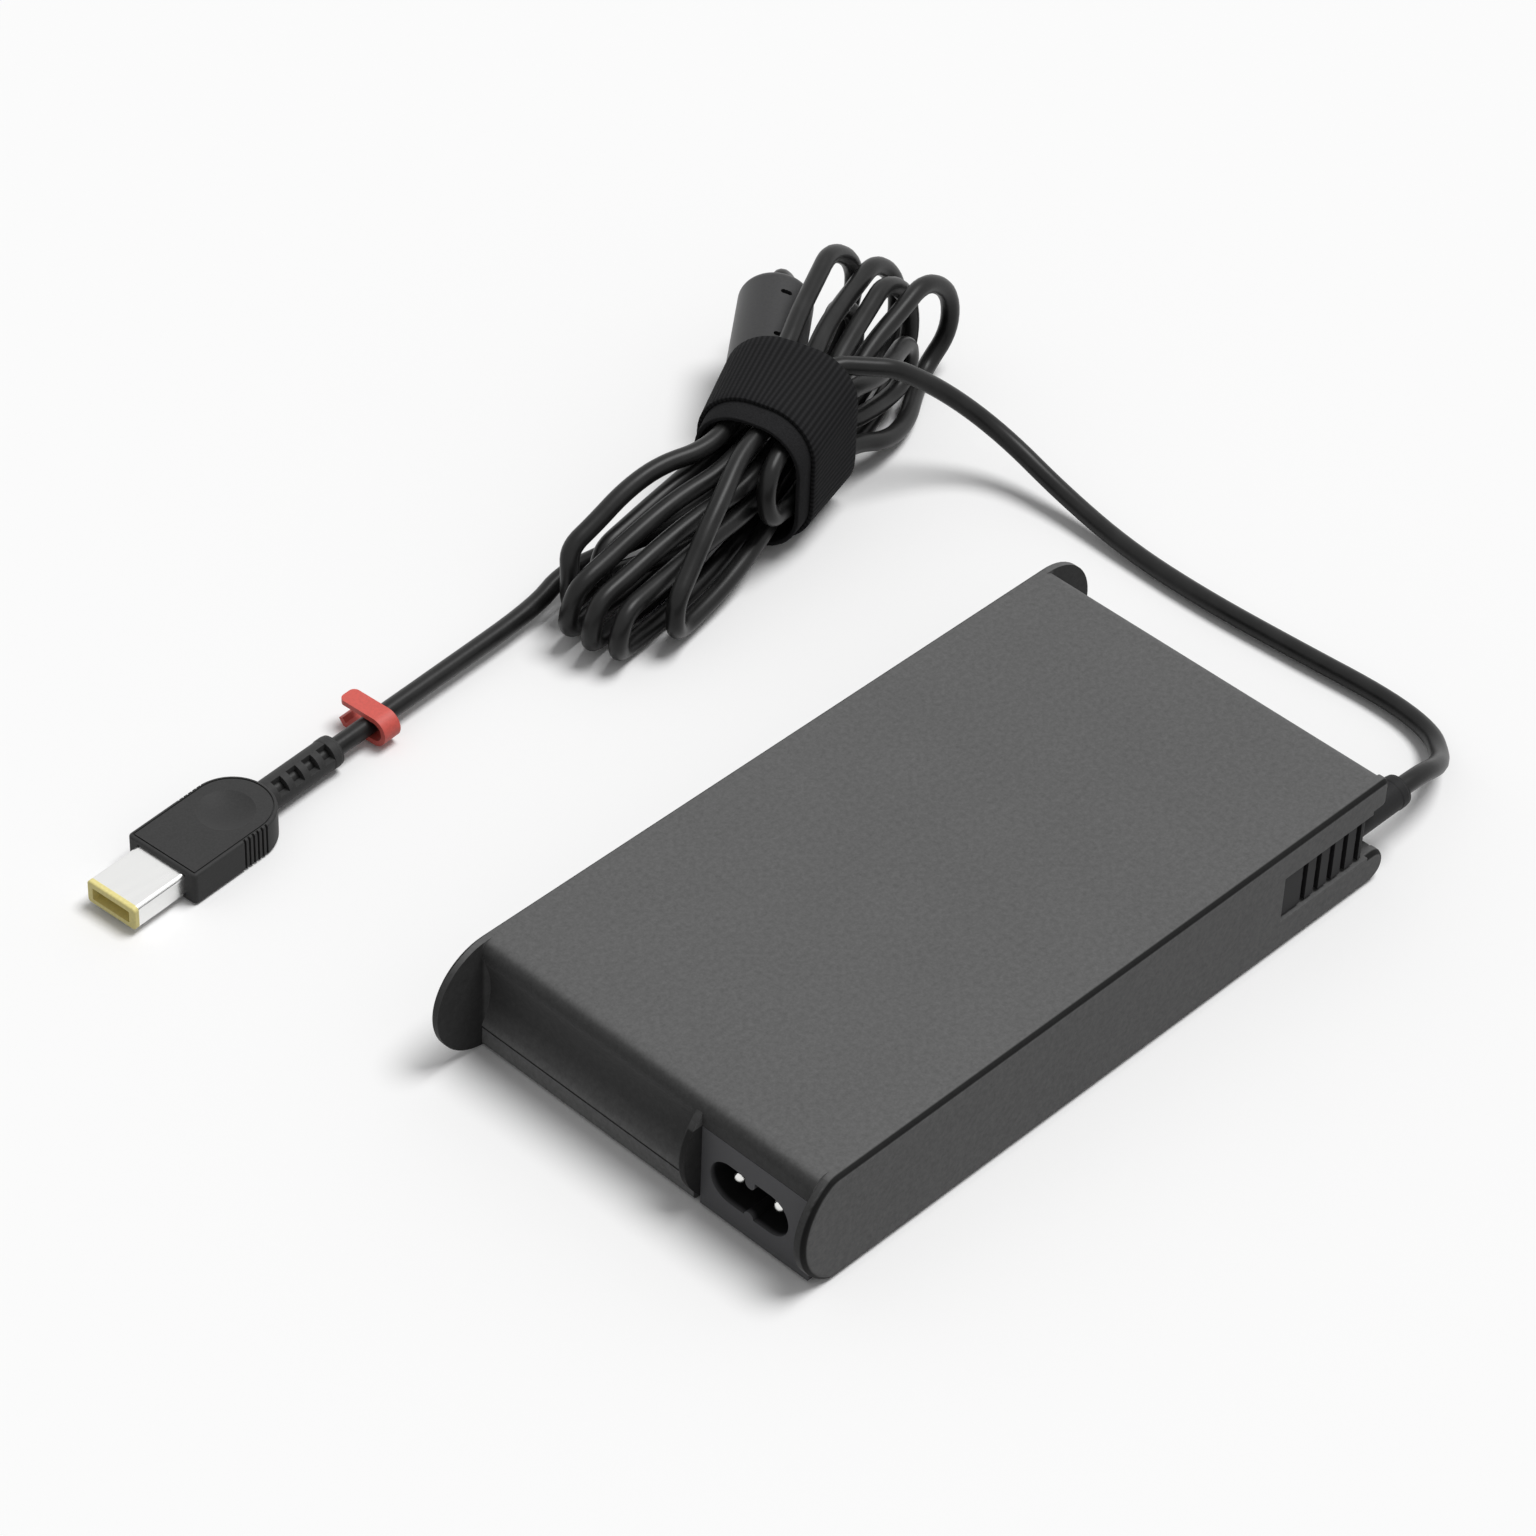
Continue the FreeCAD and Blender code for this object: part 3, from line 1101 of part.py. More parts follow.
def plug_body():
    half = PLUG_WIDTH / 2
    end = BODY_START + PLUG_LENGTH
    low = -PLUG_HEIGHT / 2
    block = box(BODY_START, end - half, -half, half, low, -low)
    rear = rod(half, (end - half, 0, low), (0, 0, 1), PLUG_HEIGHT)
    block = join([block, rear])
    block = round_where(block, PLUG_CORNER, lambda e: abs(e.CenterOfMass.x - BODY_START) < 0.01
                        and abs(abs(e.CenterOfMass.y) - half) < 0.01)
    block = round_where(block, 0.5, lambda e: abs(abs(e.CenterOfMass.z) + low) < 0.01)
    block = block.cut(plug_rim(PLUG_RIM).cut(plug_rim(PLUG_RIM + RIM_CUT)))
    ball_r = (DIMPLE_R ** 2 + DIMPLE_DEEP ** 2) / (2 * DIMPLE_DEEP)
    middle = end - half - 1.2
    block = block.cut(Part.makeSphere(ball_r, vec(middle, 0, -low + ball_r - DIMPLE_DEEP)))
    for i in range(GRIPS):
        x = end - half - GRIP_START + i * GRIP_PITCH
        for side in (-1, 1):
            edge = half if x <= end - half else math.sqrt(half ** 2 - (x - end + half) ** 2)
            y0 = side * (edge - GRIP_DEEP)
            y1 = side * (edge + 1)
            block = block.cut(box(x, x + GRIP_WIDTH, min(y0, y1), max(y0, y1), low - 1, 1 - low))
    socket = box(BODY_START - 1, BODY_START + 6, -SHELL_WIDTH / 2, SHELL_WIDTH / 2,
                 -SHELL_HEIGHT / 2, SHELL_HEIGHT / 2)
    block = block.cut(socket)
    return placed_on_plug(block.cut(rod(CORD_R, (BODY_START + 6, 0, 0), (1, 0, 0), PLUG_LENGTH)))


def rounded_bar(x0, x1, width, height, radius):
    bar = box(x0, x1, -width / 2, width / 2, -height / 2, height / 2)
    return round_where(bar, radius, lambda e: abs(e.CenterOfMass.x - (x0 + x1) / 2) < 0.01)


def plug_shell():
    end = BODY_START + 6
    outer = rounded_bar(SHELL_START, end, SHELL_WIDTH, SHELL_HEIGHT, SHELL_R)
    inner = rounded_bar(SHELL_START - 1, end + 1, SHELL_WIDTH - 2 * SHELL_WALL_T,
                        SHELL_HEIGHT - 2 * SHELL_WALL_T, SHELL_R - SHELL_WALL_T)
    return placed_on_plug(outer.cut(inner))


def plug_insulator():
    end = BODY_START + 6
    front = rounded_bar(0, SHELL_START, SHELL_WIDTH, SHELL_HEIGHT, SHELL_R)
    front = round_where(front, 0.35, lambda e: abs(e.CenterOfMass.x) < 0.01)
    inner = rounded_bar(SHELL_START, end, SHELL_WIDTH - 2 * SHELL_WALL_T, SHELL_HEIGHT - 2 * SHELL_WALL_T,
                        SHELL_R - SHELL_WALL_T)
    piece = join([front, inner])
    slot = rounded_bar(-1, SLOT_DEEP, SLOT_WIDTH, SLOT_HEIGHT, 0.3)
    piece = piece.cut(slot)
    return placed_on_plug(piece.cut(plug_contact_bar()))


def plug_contact_bar():
    return box(2.5, BODY_START + 6, -SLOT_WIDTH / 2 + 0.4, SLOT_WIDTH / 2 - 0.4, -CONTACT_THICK / 2,
               CONTACT_THICK / 2)


def plug_conductor():
    """the cord's own end, inside the plug's body and its boot"""
    end = BODY_START + PLUG_LENGTH + PLUG_BOOT_LENGTH
    return placed_on_plug(rod(CORD_R, (BODY_START + 6, 0, 0), (1, 0, 0), end - BODY_START - 6))


def plug_boot():
    start = BODY_START + PLUG_LENGTH
    end = start + PLUG_BOOT_LENGTH
    centre = start - PLUG_WIDTH / 2
    radius = PLUG_BOOT_D / 2
    boot = rod(radius, (start - 1.5, 0, 0), (1, 0, 0), PLUG_BOOT_LENGTH + 1.5)
    collar = rod(radius + COLLAR, (end - COLLAR_LENGTH, 0, 0), (1, 0, 0), COLLAR_LENGTH)
    collar = round_where(collar, 0.6, lambda e: len(e.Vertexes) == 1)
    boot = join([boot, collar])
    boot = boot.cut(rod(PLUG_WIDTH / 2, (centre, 0, -PLUG_HEIGHT), (0, 0, 1), 2 * PLUG_HEIGHT))
    for i in range(BOOT_NOTCHES):
        x = start + NOTCH_START + i * NOTCH_PITCH
        band = ring_x(radius + 1, radius - NOTCH_DEEP, x, NOTCH_WIDTH)
        near = band.common(box(x - 1, x + NOTCH_WIDTH + 1,
                               -2 * radius, -0.1 * radius, 0.3 * radius, 2 * radius))
        far = band.common(box(x - 1, x + NOTCH_WIDTH + 1,
                              0.1 * radius, 2 * radius, -2 * radius, -0.3 * radius))
        boot = boot.cut(near).cut(far)
    return placed_on_plug(boot.cut(rod(CORD_R, (start - 5, 0, 0), (1, 0, 0), PLUG_BOOT_LENGTH + 6)))


def ring_x(outer, inner, x, width):
    return rod(outer, (x, 0, 0), (1, 0, 0), width).cut(rod(inner, (x - 1, 0, 0), (1, 0, 0), width + 2))


def cable_clip():
    """a flat spring bent round the cord, closed towards -Y and open towards +Y"""
    end = BODY_START + PLUG_LENGTH + PLUG_BOOT_LENGTH
    x0 = end + CLIP_AT - CLIP_WIDTH / 2
    inner = CORD_R + CLIP_GAP
    outer = inner + CLIP_THICK
    back = inner - CLIP_BACK + CLIP_THICK
    edges = [line((0, CLIP_ARM, outer), (0, back, outer)),
             arc((0, back, outer), (0, back - outer, 0), (0, back, -outer)),
             line((0, back, -outer), (0, CLIP_LOWER_ARM, -outer)),
             line((0, CLIP_LOWER_ARM, -outer), (0, CLIP_LOWER_ARM + CLIP_THICK, CLIP_HOOK - outer)),
             line((0, CLIP_LOWER_ARM + CLIP_THICK, CLIP_HOOK - outer),
                  (0, CLIP_LOWER_ARM + 0.2, CLIP_HOOK + 0.4 - outer)),
             line((0, CLIP_LOWER_ARM + 0.2, CLIP_HOOK + 0.4 - outer), (0, CLIP_LOWER_ARM - 0.6, -inner)),
             line((0, CLIP_LOWER_ARM - 0.6, -inner), (0, back, -inner)),
             arc((0, back, -inner), (0, back - inner, 0), (0, back, inner)),
             line((0, back, inner), (0, CLIP_ARM - 0.6, inner)),
             line((0, CLIP_ARM - 0.6, inner), (0, CLIP_ARM, outer - 0.4)),
             line((0, CLIP_ARM, outer - 0.4), (0, CLIP_ARM, outer))]
    face = Part.Face(Part.Wire(edges))
    clip = face.extrude(vec(CLIP_WIDTH, 0, 0))
    clip = round_where(clip, CLIP_TIP_R, lambda e: abs(e.CenterOfMass.y - CLIP_ARM) < 0.01
                       and abs(e.CenterOfMass.x - CLIP_WIDTH / 2) > 0.1)
    clip.translate(vec(x0, 0, 0))
    return placed_on_plug(clip)


def main():
    os.makedirs("parts", exist_ok=True)
    save("top_cover", top_cover())
    save("bottom_cover", bottom_cover())
    save("inlet_block", inlet_block())
    save("inlet_pins", inlet_pins())
    save("strain_relief", strain_relief())
    for name, piece in insides().items():
        save(name, piece)
    save("cord_lead", free_tube(lead_points(), "lead"))
    hank_solid, hank_curve = hank()
    save("cord_hank", hank_solid)
    save("cord_tail", free_tube(tail_points(), "tail"))
    save("cord_in_bead", cord_in_bead())
    save("ferrite_core", ferrite_core())
    save("ferrite_sleeve", ferrite_sleeve())
    save("strap_inner_wrap", strap_wrap(STRAP_LEFT, STRAP_RIGHT, STRAP_THICK))
    save("strap_outer_wrap", strap_wrap(STRAP_STEP, STRAP_RIGHT, 0.0))
    save("cable_clip", cable_clip())
    save("plug_shell", plug_shell())
    save("plug_insulator", plug_insulator())
    save("plug_contact", placed_on_plug(plug_contact_bar()))
    save("plug_body", plug_body())
    save("plug_cord_end", plug_conductor())
    save("plug_boot", plug_boot())


main()
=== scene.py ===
"""Laptop power adapter with its gathered output cord, on a plain pale stage."""
import json
import math

import bmesh
import bpy
from mathutils import Matrix, Vector

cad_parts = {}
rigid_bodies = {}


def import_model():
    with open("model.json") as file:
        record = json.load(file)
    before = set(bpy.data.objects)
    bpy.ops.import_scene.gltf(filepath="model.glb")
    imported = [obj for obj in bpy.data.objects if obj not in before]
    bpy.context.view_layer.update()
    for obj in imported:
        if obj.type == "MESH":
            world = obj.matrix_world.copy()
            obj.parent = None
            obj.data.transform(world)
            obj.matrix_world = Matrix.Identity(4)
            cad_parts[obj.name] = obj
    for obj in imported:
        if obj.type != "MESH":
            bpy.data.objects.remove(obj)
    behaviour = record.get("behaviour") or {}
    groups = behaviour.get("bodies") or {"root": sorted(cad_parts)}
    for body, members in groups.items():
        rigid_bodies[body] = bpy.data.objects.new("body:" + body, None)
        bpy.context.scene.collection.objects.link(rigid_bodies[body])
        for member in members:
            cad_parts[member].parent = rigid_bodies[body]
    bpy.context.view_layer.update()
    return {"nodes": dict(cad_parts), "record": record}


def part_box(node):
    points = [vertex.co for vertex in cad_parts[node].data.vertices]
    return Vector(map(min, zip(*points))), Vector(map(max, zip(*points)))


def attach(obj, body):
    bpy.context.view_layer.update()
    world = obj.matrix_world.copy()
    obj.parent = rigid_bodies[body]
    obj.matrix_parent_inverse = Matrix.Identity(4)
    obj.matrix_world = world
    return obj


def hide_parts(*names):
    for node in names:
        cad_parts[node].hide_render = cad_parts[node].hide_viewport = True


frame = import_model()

bl_info = {
    "name": "Laptop Power Adapter",
    "version": (1, 0, 0),
    "blender": (4, 5, 0),
    "location": "3D View > Sidebar > Adapter",
    "description": "Dresses the packed model of a laptop power adapter",
    "category": "Object",
}

MM = 0.001
NODES = frame["nodes"]

# The cord's route, in the same millimetres and the same values as the part's source
OUTLET_Y = -33.5
OUTLET_Z = 11.2
BOOT_END = 75.6
CORD_D = 3.5
CORD_R = CORD_D / 2
HANK_X = 63.0
HANK_Y = 98.5
HANK_TURN = 16.0
WIRE_GAP = 0.95
FLOOR_GAP = 0.25
LOOP_FLOOR = CORD_R + FLOOR_GAP
MOUTH = 12.0
SETTLE_ROUNDS = 200
LAST_ROUNDS = 20
SAMPLE_STEP = 4.0
ROUNDS_PER_SEARCH = 6
SEARCH_BEYOND = 3.5       # how much further than the wanted gap a neighbouring turn is looked for
GAP_MARGIN = 0.05
BEAD_CLEAR = 0.5
SMALL_SHARE = 0.15        # a node that owns less of a sampled point than this isn't pushed by it
PUSH_GAIN = 1.5
ALONG_SHARE = 0.25        # how much of a push may move a node along the hank
LIFT_GAIN = 0.8
STRAP_GAIN = 2.5
BEAD_NODES = 5            # the last nodes, which run into the bead
EASE = 0.12
SAME_TURN = 4 * CORD_D    # points nearer than this along the cord aren't neighbouring turns
PARALLEL = 1e-6
STRAIGHT = 1e-4
TOUCHING = 1e-3
STRAP_THICK = 0.85
STRAP_LEFT = -10.0
STRAP_STEP = -6.0
STRAP_RIGHT = 10.0
STRAP_UNDER_END = STRAP_RIGHT - 1.0
STRAP_CLEAR = 0.5
STRAP_W_LOW = (-11.2, -11.3)
STRAP_W_HIGH = (11.6, 15.6)
STRAP_TOP = (28.0, 31.2)
STRAP_CORNERS = ((9.5, 10.0), (9.5, 10.0), (10.5, 13.0), (9.5, 9.0))
STRAP_RINGS = 9
STRAP_POINTS = 48
RIB_PITCH = 1.1
STITCH_PITCH = 0.7 * RIB_PITCH
SLEEVE_R = 7.0
BEAD_NEAR = (15.8, 10.9, 14.4)
BEAD_FAR = (38.0, 19.8, 16.0)
PLUG_TURN = 3.9
PLUG_TIP = (-90.5, 98.9)
PLUG_HEIGHT = 6.4
PLUG_AXIS_Z = PLUG_HEIGHT / 2
BODY_START = 11.5
PLUG_LENGTH = 24.0
PLUG_BOOT_LENGTH = 16.2
STRAIGHT_TAIL = 50.8
CORD_LENGTH = 1716.2


def sub(a, b):
    return (a[0] - b[0], a[1] - b[1], a[2] - b[2])


def add(a, b, k=1.0):
    return (a[0] + k * b[0], a[1] + k * b[1], a[2] + k * b[2])


def dot(a, b):
    return a[0] * b[0] + a[1] * b[1] + a[2] * b[2]


def size(a):
    return math.sqrt(dot(a, a))


def unit(a):
    return tuple(c / size(a) for c in a)


def hank_place(p):
    """from the hank's own u, w, z to the part's frame"""
    c = math.cos(math.radians(HANK_TURN))
    s = math.sin(math.radians(HANK_TURN))
    return (HANK_X + p[0] * c - p[1] * s, HANK_Y + p[0] * s + p[1] * c, p[2])


def plug_place(along, across=0.0, up=0.0):
    """from the plug's own axis to the part's frame"""
    c = math.cos(math.radians(PLUG_TURN))
    s = math.sin(math.radians(PLUG_TURN))
    return (PLUG_TIP[0] + along * c - across * s, PLUG_TIP[1] + along * s + across * c, PLUG_AXIS_Z + up)


# Each loop's end: reach, w at the end, how much further across its upper side lies, height,
# (w, z) where it enters the strap above and below, rise of the upper run, sweep of the lower side
# and how far above the ground that side lies
LEFT_ENDS = {
    "front": (42.6, -3.4, -1.2, 12.4, (-0.4, 23.8), (-4.4, 5.2), 2.0, 0.8, 0.0),
    "fourth": (51.6, 3.2, 0.8, 11.8, (-3.0, 12.4), (0.1, 4.0), 0.4, 0.4, 0.0),
    "third": (52.4, 8.6, 2.0, 12.4, (-1.6, 16.6), (4.5, 4.6), 0.6, 0.2, 0.0),
    "second": (51.0, 14.2, 2.2, 12.4, (2.6, 18.2), (7.1, 8.2), 0.8, -0.4, 0.0),
    "inner": (40.4, 15.0, 0.6, 14.8, (7.3, 17.1), (2.2, 8.4), 1.6, 0.0, 3.0),
    "first": (45.4, 18.3, 1.4, 13.4, (6.3, 21.5), (7.3, 12.6), 0.2, 0.0, 0.0),
}
RIGHT_ENDS = {
    "hidden": (41.0, -4.2, -1.0, 13.0, (-6.8, 19.8), (-1.9, 8.5), 0.0, 0.3, 0.0),
    "fourth": (55.2, -5.6, -2.6, 21.6, (-5.8, 14.6), (-6.6, 8.4), 0.2, 3.4, 0.0),
    "third": (49.6, -4.6, -3.0, 22.8, (-2.6, 18.2), (-2.7, 4.0), 0.2, 1.2, 0.0),
    "second": (53.4, 0.2, -3.4, 22.4, (1.0, 20.9), (1.8, 4.0), 0.5, 1.0, 0.0),
    "inner": (43.0, 4.0, -1.6, 18.0, (1.6, 16.2), (6.2, 4.0), 0.0, 0.3, 0.0),
    "first": (48.0, 7.2, -1.6, 26.4, (5.2, 24.2), (4.6, 8.2), 0.4, 1.2, 0.0),
}
WAIST_ABOVE = {"front": (-1.8, 24.2), "tuck": (-6.4, 19.4), "fourth": (-3.8, 14.4),
               "third": (-2.1, 17.9), "second": (2.3, 19.0), "inner": (4.8, 15.0), "first": (5.9, 21.9)}
WAIST_BELOW = {"front": (-3.0, 6.8), "tuck": (-7.0, 9.6), "fourth": (-0.8, 3.9), "third": (3.4, 3.9),
               "second": (7.2, 6.0), "inner": (2.6, 8.2), "first": (9.2, 10.0)}
TUCK = ((-6.5, -5.2, 21.1), (-10.6, -5.6, 21.1), (-14.2, -6.0, 19.4), (-15.7, -6.4, 15.4),
        (-14.2, -6.8, 11.4), (-10.6, -7.0, 9.8))
HANK_START = ((16.4, -9.8, 25.8), (13.9, -7.0, 26.6), (8.5, -3.2, 26.4))
BEHIND_BEAD = ((13.0, 10.2, 4.8, 1.0, "bend"), (25.0, 14.6, 2.4, 1.0, "bend"),
               (36.0, 18.0, LOOP_FLOOR, 1.0, "level"), (43.6, 20.6, 3.4, 0.3, "bend"),
               (47.0, 21.6, 8.6, 0.3, "bend"))
FIRM = 0.25               # how freely the settling moves an end of a loop, beside 1 for a run


def loop_end(side, end):
    """nodes round one end of a loop, from above to below: u, w, z, how freely it may move, and whether
    the cord bends evenly there or follows the run that comes in or goes out, on the level or not"""
    reach, w, lean, height, above, below, rise, sweep, lift = end
    ground = LOOP_FLOOR + lift
    r = (height - ground) / 2
    centre = reach - r
    fall = math.atan2(above[1] - height + 2 * rise, centre - MOUTH)
    top = centre + r * math.sin(fall)
    crest = ground + r + r * math.cos(fall)
    half = (MOUTH + top) / 2
    low_half = (MOUTH + centre) / 2
    low_rise = 0.25 * (below[1] - ground)
    return [(side * MOUTH, above[0], above[1], 1.0, "bend"),
            (side * half, (above[0] + w - lean) / 2, (above[1] + crest) / 2 + rise, 1.0, "bend"),
            (side * top, w - lean, crest, FIRM, "in" if side < 0 else "out"),
            (side * reach, w - 0.5 * lean, ground + r, FIRM, "bend"),
            (side * centre, w + sweep, ground, FIRM, "level out" if side < 0 else "level in"),
            (side * low_half, (below[0] + w) / 2, ground + low_rise, 1.0, "bend"),
            (side * MOUTH, below[0], below[1], 1.0, "bend")]


def hank_nodes():
    """nodes of the gathered turns, from the lead through each loop to the far end of the bead"""
    nodes = [HANK_START[0] + (0.0, "bend"), HANK_START[1] + (0.0, "bend"),
             HANK_START[2] + (FIRM, "bend")]
    nodes.append((0.0,) + WAIST_ABOVE["front"] + (0.5, "bend"))
    rounds = [("front", "hidden"), ("tuck", "fourth"), ("fourth", "third"), ("third", "second"),
              ("second", "inner"), ("inner", "first"), ("first", None)]
    for i, (left, right) in enumerate(rounds):
        if left == "tuck":
            nodes += [p + (FIRM, "bend") for p in TUCK]
        else:
            nodes += loop_end(-1, LEFT_ENDS[left])
        nodes.append((0.0,) + WAIST_BELOW[left] + (1.0, "bend"))
        if right:
            nodes += loop_end(1, RIGHT_ENDS[right])[::-1]
            nodes.append((0.0,) + WAIST_ABOVE[rounds[i + 1][0]] + (1.0, "bend"))
    nodes += BEHIND_BEAD
    axis = unit(sub(BEAD_FAR, BEAD_NEAR))
    nodes.append(add(BEAD_FAR, axis, CORD_D) + (0.0, "bend"))
    nodes.append(BEAD_FAR + (0.0, "bend"))
    return nodes


def tangents(points, kinds, first, last):
    """directions at the nodes, by their kinds; the two at either end follow the given ones"""
    result = []
    for i in range(len(points)):
        if i < 2:
            result.append(first)
        elif i > len(points) - 3:
            result.append(last)
        else:
            a = sub(points[i], points[i - 1])
            b = sub(points[i + 1], points[i])
            t = add(tuple(c * size(b) / size(a) for c in a), b, size(a) / size(b))
            if kinds[i].endswith("in"):
                t = a
            if kinds[i].endswith("out"):
                t = b
            result.append(unit((t[0], t[1], 0.0) if kinds[i].startswith("level") else t))
    return result


def meeting_point(p0, t0, p1, t1):
    """where the two arcs between two nodes meet"""
    v = sub(p1, p0)
    t = add(t0, t1)
    k = 2 * (1 - dot(t0, t1))
    if k < PARALLEL:
        d = dot(v, v) / (4 * dot(v, t1))
    else:
        d = (math.sqrt(dot(v, t) ** 2 + k * dot(v, v)) - dot(v, t)) / k
    a = add(p0, t0, d)
    b = add(p1, t1, -d)
    return tuple((a[i] + b[i]) / 2 for i in range(3))


def arc_points(p, t, q, count):
    """points along the arc that leaves p along t and ends at q"""
    c = sub(q, p)
    turn = 2 * math.acos(max(-1.0, min(1.0, dot(c, t) / size(c))))
    if turn < STRAIGHT:
        return [add(p, c, (i + 1) / count) for i in range(count)]
    normal = unit(sub(c, tuple(k * dot(c, t) for k in t)))
    radius = size(c) / (2 * math.sin(turn / 2))
    points = []
    for i in range(count):
        a = turn * (i + 1) / count
        points.append(add(add(p, t, radius * math.sin(a)), normal, radius * (1 - math.cos(a))))
    return points


def sample(points, dirs, step):
    """points along the arcs, each with its node's number and its share of the way to the next"""
    result = [points[0]]
    place = [(0, 0.0)]
    for i in range(len(points) - 1):
        q = meeting_point(points[i], dirs[i], points[i + 1], dirs[i + 1])
        first = size(sub(q, points[i]))
        second = size(sub(points[i + 1], q))
        n1 = max(1, int(math.ceil(first / step)))
        n2 = max(1, int(math.ceil(second / step)))
        part1 = arc_points(points[i], dirs[i], q, n1)
        part2 = arc_points(points[i + 1], tuple(-c for c in dirs[i + 1]), q, n2)
        part2 = part2[:-1][::-1] + [points[i + 1]]
        share = first / (first + second)
        result += part1
        place += [(i, share * (j + 1) / n1) for j in range(n1)]
        result += part2
        place += [(i, share + (1 - share) * (j + 1) / n2) for j in range(n2)]
    return result, place


def away_from(p, a, b):
    """the vector from segment ab to p"""
    ab = sub(b, a)
    t = max(0.0, min(1.0, dot(sub(p, a), ab) / dot(ab, ab)))
    return sub(p, add(a, ab, t))


def strap_section(u, inset):
    """w low, w high, z low, z high and the four corner radii of the strap's section at u"""
    t = (u - STRAP_LEFT) / (STRAP_RIGHT - STRAP_LEFT)
    low, high, top = [a + t * (b - a) - inset for a, b in (STRAP_W_LOW, STRAP_W_HIGH, STRAP_TOP)]
    corners = [a + t * (b - a) - inset for a, b in STRAP_CORNERS]
    return low + 2 * inset, high, inset, top, corners


def strap_push(u, w, z):
    """how far a cord's axis has to move to lie inside the strap"""
    low, high, bottom, top, corners = strap_section(u, 2 * STRAP_THICK + STRAP_CLEAR + CORD_R)
    far = w > (low + high) / 2
    above = z > (bottom + top) / 2
    corner = corners[(2 if far else 3) if above else (1 if far else 0)]
    w0 = min(w, high - corner) if far else max(w, low + corner)
    z0 = min(z, top - corner) if above else max(z, bottom + corner)
    gap = math.hypot(w - w0, z - z0)
    if gap <= corner:
        return (0.0, 0.0, 0.0)
    k = (corner - gap) / gap
    return (0.0, (w - w0) * k, (z - z0) * k)


def settle(nodes, still):
    """push neighbouring turns apart, off the ground, off the bead and inside the strap"""
    free = [p[3] for p in nodes]
    kinds = [p[4] for p in nodes]
    start = [tuple(p[:3]) for p in nodes]
    points = start
    clear = SLEEVE_R + CORD_R + BEAD_CLEAR
    first = unit(sub(points[1], points[0]))
    last = unit(sub(points[-1], points[-2]))
    goal = CORD_D + WIRE_GAP
    reach = goal + SEARCH_BEYOND
    for round_no in range(SETTLE_ROUNDS):
        dirs = tangents(points, kinds, first, last)
        curve, place = sample(points, dirs, SAMPLE_STEP)
        if round_no % ROUNDS_PER_SEARCH == 0:
            pairs = near_pairs(curve, reach)
            beside = [(i, j) for i, p in enumerate(curve) for j in range(len(still) - 1)
                      if size(sub(p, still[j])) < reach + SAMPLE_STEP]
        force = [[0.0, 0.0, 0.0] for p in points]
        weight = [0.0] * len(points)

        def push(k, move):
            node, share = place[k]
            for n, part in ((node, 1 - share), (node + 1, share)):
                if part > SMALL_SHARE:
                    for c in range(3):
                        force[n][c] += move[c] * part
                    weight[n] += part

        for i, j in pairs:
            if i >= len(curve) or j >= len(curve):
                continue
            gap = min((away_from(curve[i], curve[k], curve[k + 1])
                       for k in (j - 1, j) if k + 1 < len(curve)), key=size)
            length = max(size(gap), TOUCHING)
            if length < goal:
                k = 0.5 * (goal + GAP_MARGIN - length) / length
                push(i, tuple(c * k for c in gap))
                push(j, tuple(-c * k for c in gap))
        for i, j in beside:
            if i < len(curve):
                gap = away_from(curve[i], still[j], still[j + 1])
                length = max(size(gap), TOUCHING)
                if length < goal:
                    push(i, tuple(c * (goal + GAP_MARGIN - length) / length for c in gap))
        lift = [0.0] * len(points)
        for i, p in enumerate(curve):
            for n in (place[i][0], min(place[i][0] + 1, len(points) - 1)):
                lift[n] = max(lift[n], LOOP_FLOOR - p[2])
            if place[i][0] < len(points) - BEAD_NODES:
                gap = away_from(p, BEAD_NEAR, BEAD_FAR)
                if size(gap) < clear:
                    push(i, tuple(c * (clear + GAP_MARGIN - size(gap)) / size(gap) for c in gap))
            if STRAP_LEFT - 1 < p[0] < STRAP_RIGHT + 1:
                push(i, tuple(STRAP_GAIN * c for c in strap_push(*p)))
        moved = []
        for i, p in enumerate(points):
            if free[i] > 0 and weight[i] > 0:
                k = PUSH_GAIN * free[i] / max(1.0, weight[i])
                p = (p[0] + ALONG_SHARE * k * force[i][0], p[1] + k * force[i][1],
                     p[2] + k * force[i][2])
            if free[i] > 0:
                p = (p[0], p[1], p[2] + LIFT_GAIN * lift[i])
            moved.append(p)
        points = ease(start, moved, free) if round_no < SETTLE_ROUNDS - LAST_ROUNDS else moved
    return points, tangents(points, kinds, first, last)


def near_pairs(curve, reach):
    """pairs of sampled points that lie close but are far apart along the cord"""
    along = [0.0]
    for a, b in zip(curve, curve[1:]):
        along.append(along[-1] + size(sub(b, a)))
    cells = {}
    for i, p in enumerate(curve):
        cells.setdefault(tuple(int(c // reach) for c in p), []).append(i)
    pairs = []
    for i, p in enumerate(curve):
        home = tuple(int(c // reach) for c in p)
        for dx in (-1, 0, 1):
            for dy in (-1, 0, 1):
                for dz in (-1, 0, 1):
                    for j in cells.get((home[0] + dx, home[1] + dy, home[2] + dz), ()):
                        apart = j > i and along[j] - along[i] > SAME_TURN
                        if apart and size(sub(p, curve[j])) < reach:
                            pairs.append((i, j))
    return pairs


def ease(start, points, free):
    """let neighbouring nodes share how far they have moved, so that the loops keep their shape"""
    moves = [sub(p, q) for p, q in zip(points, start)]
    result = list(points)
    for i in range(1, len(points) - 1):
        if free[i] > 0:
            middle = add(moves[i - 1], moves[i + 1])
            change = sub(tuple(c / 2 for c in middle), moves[i])
            result[i] = add(points[i], change, EASE)
    return result


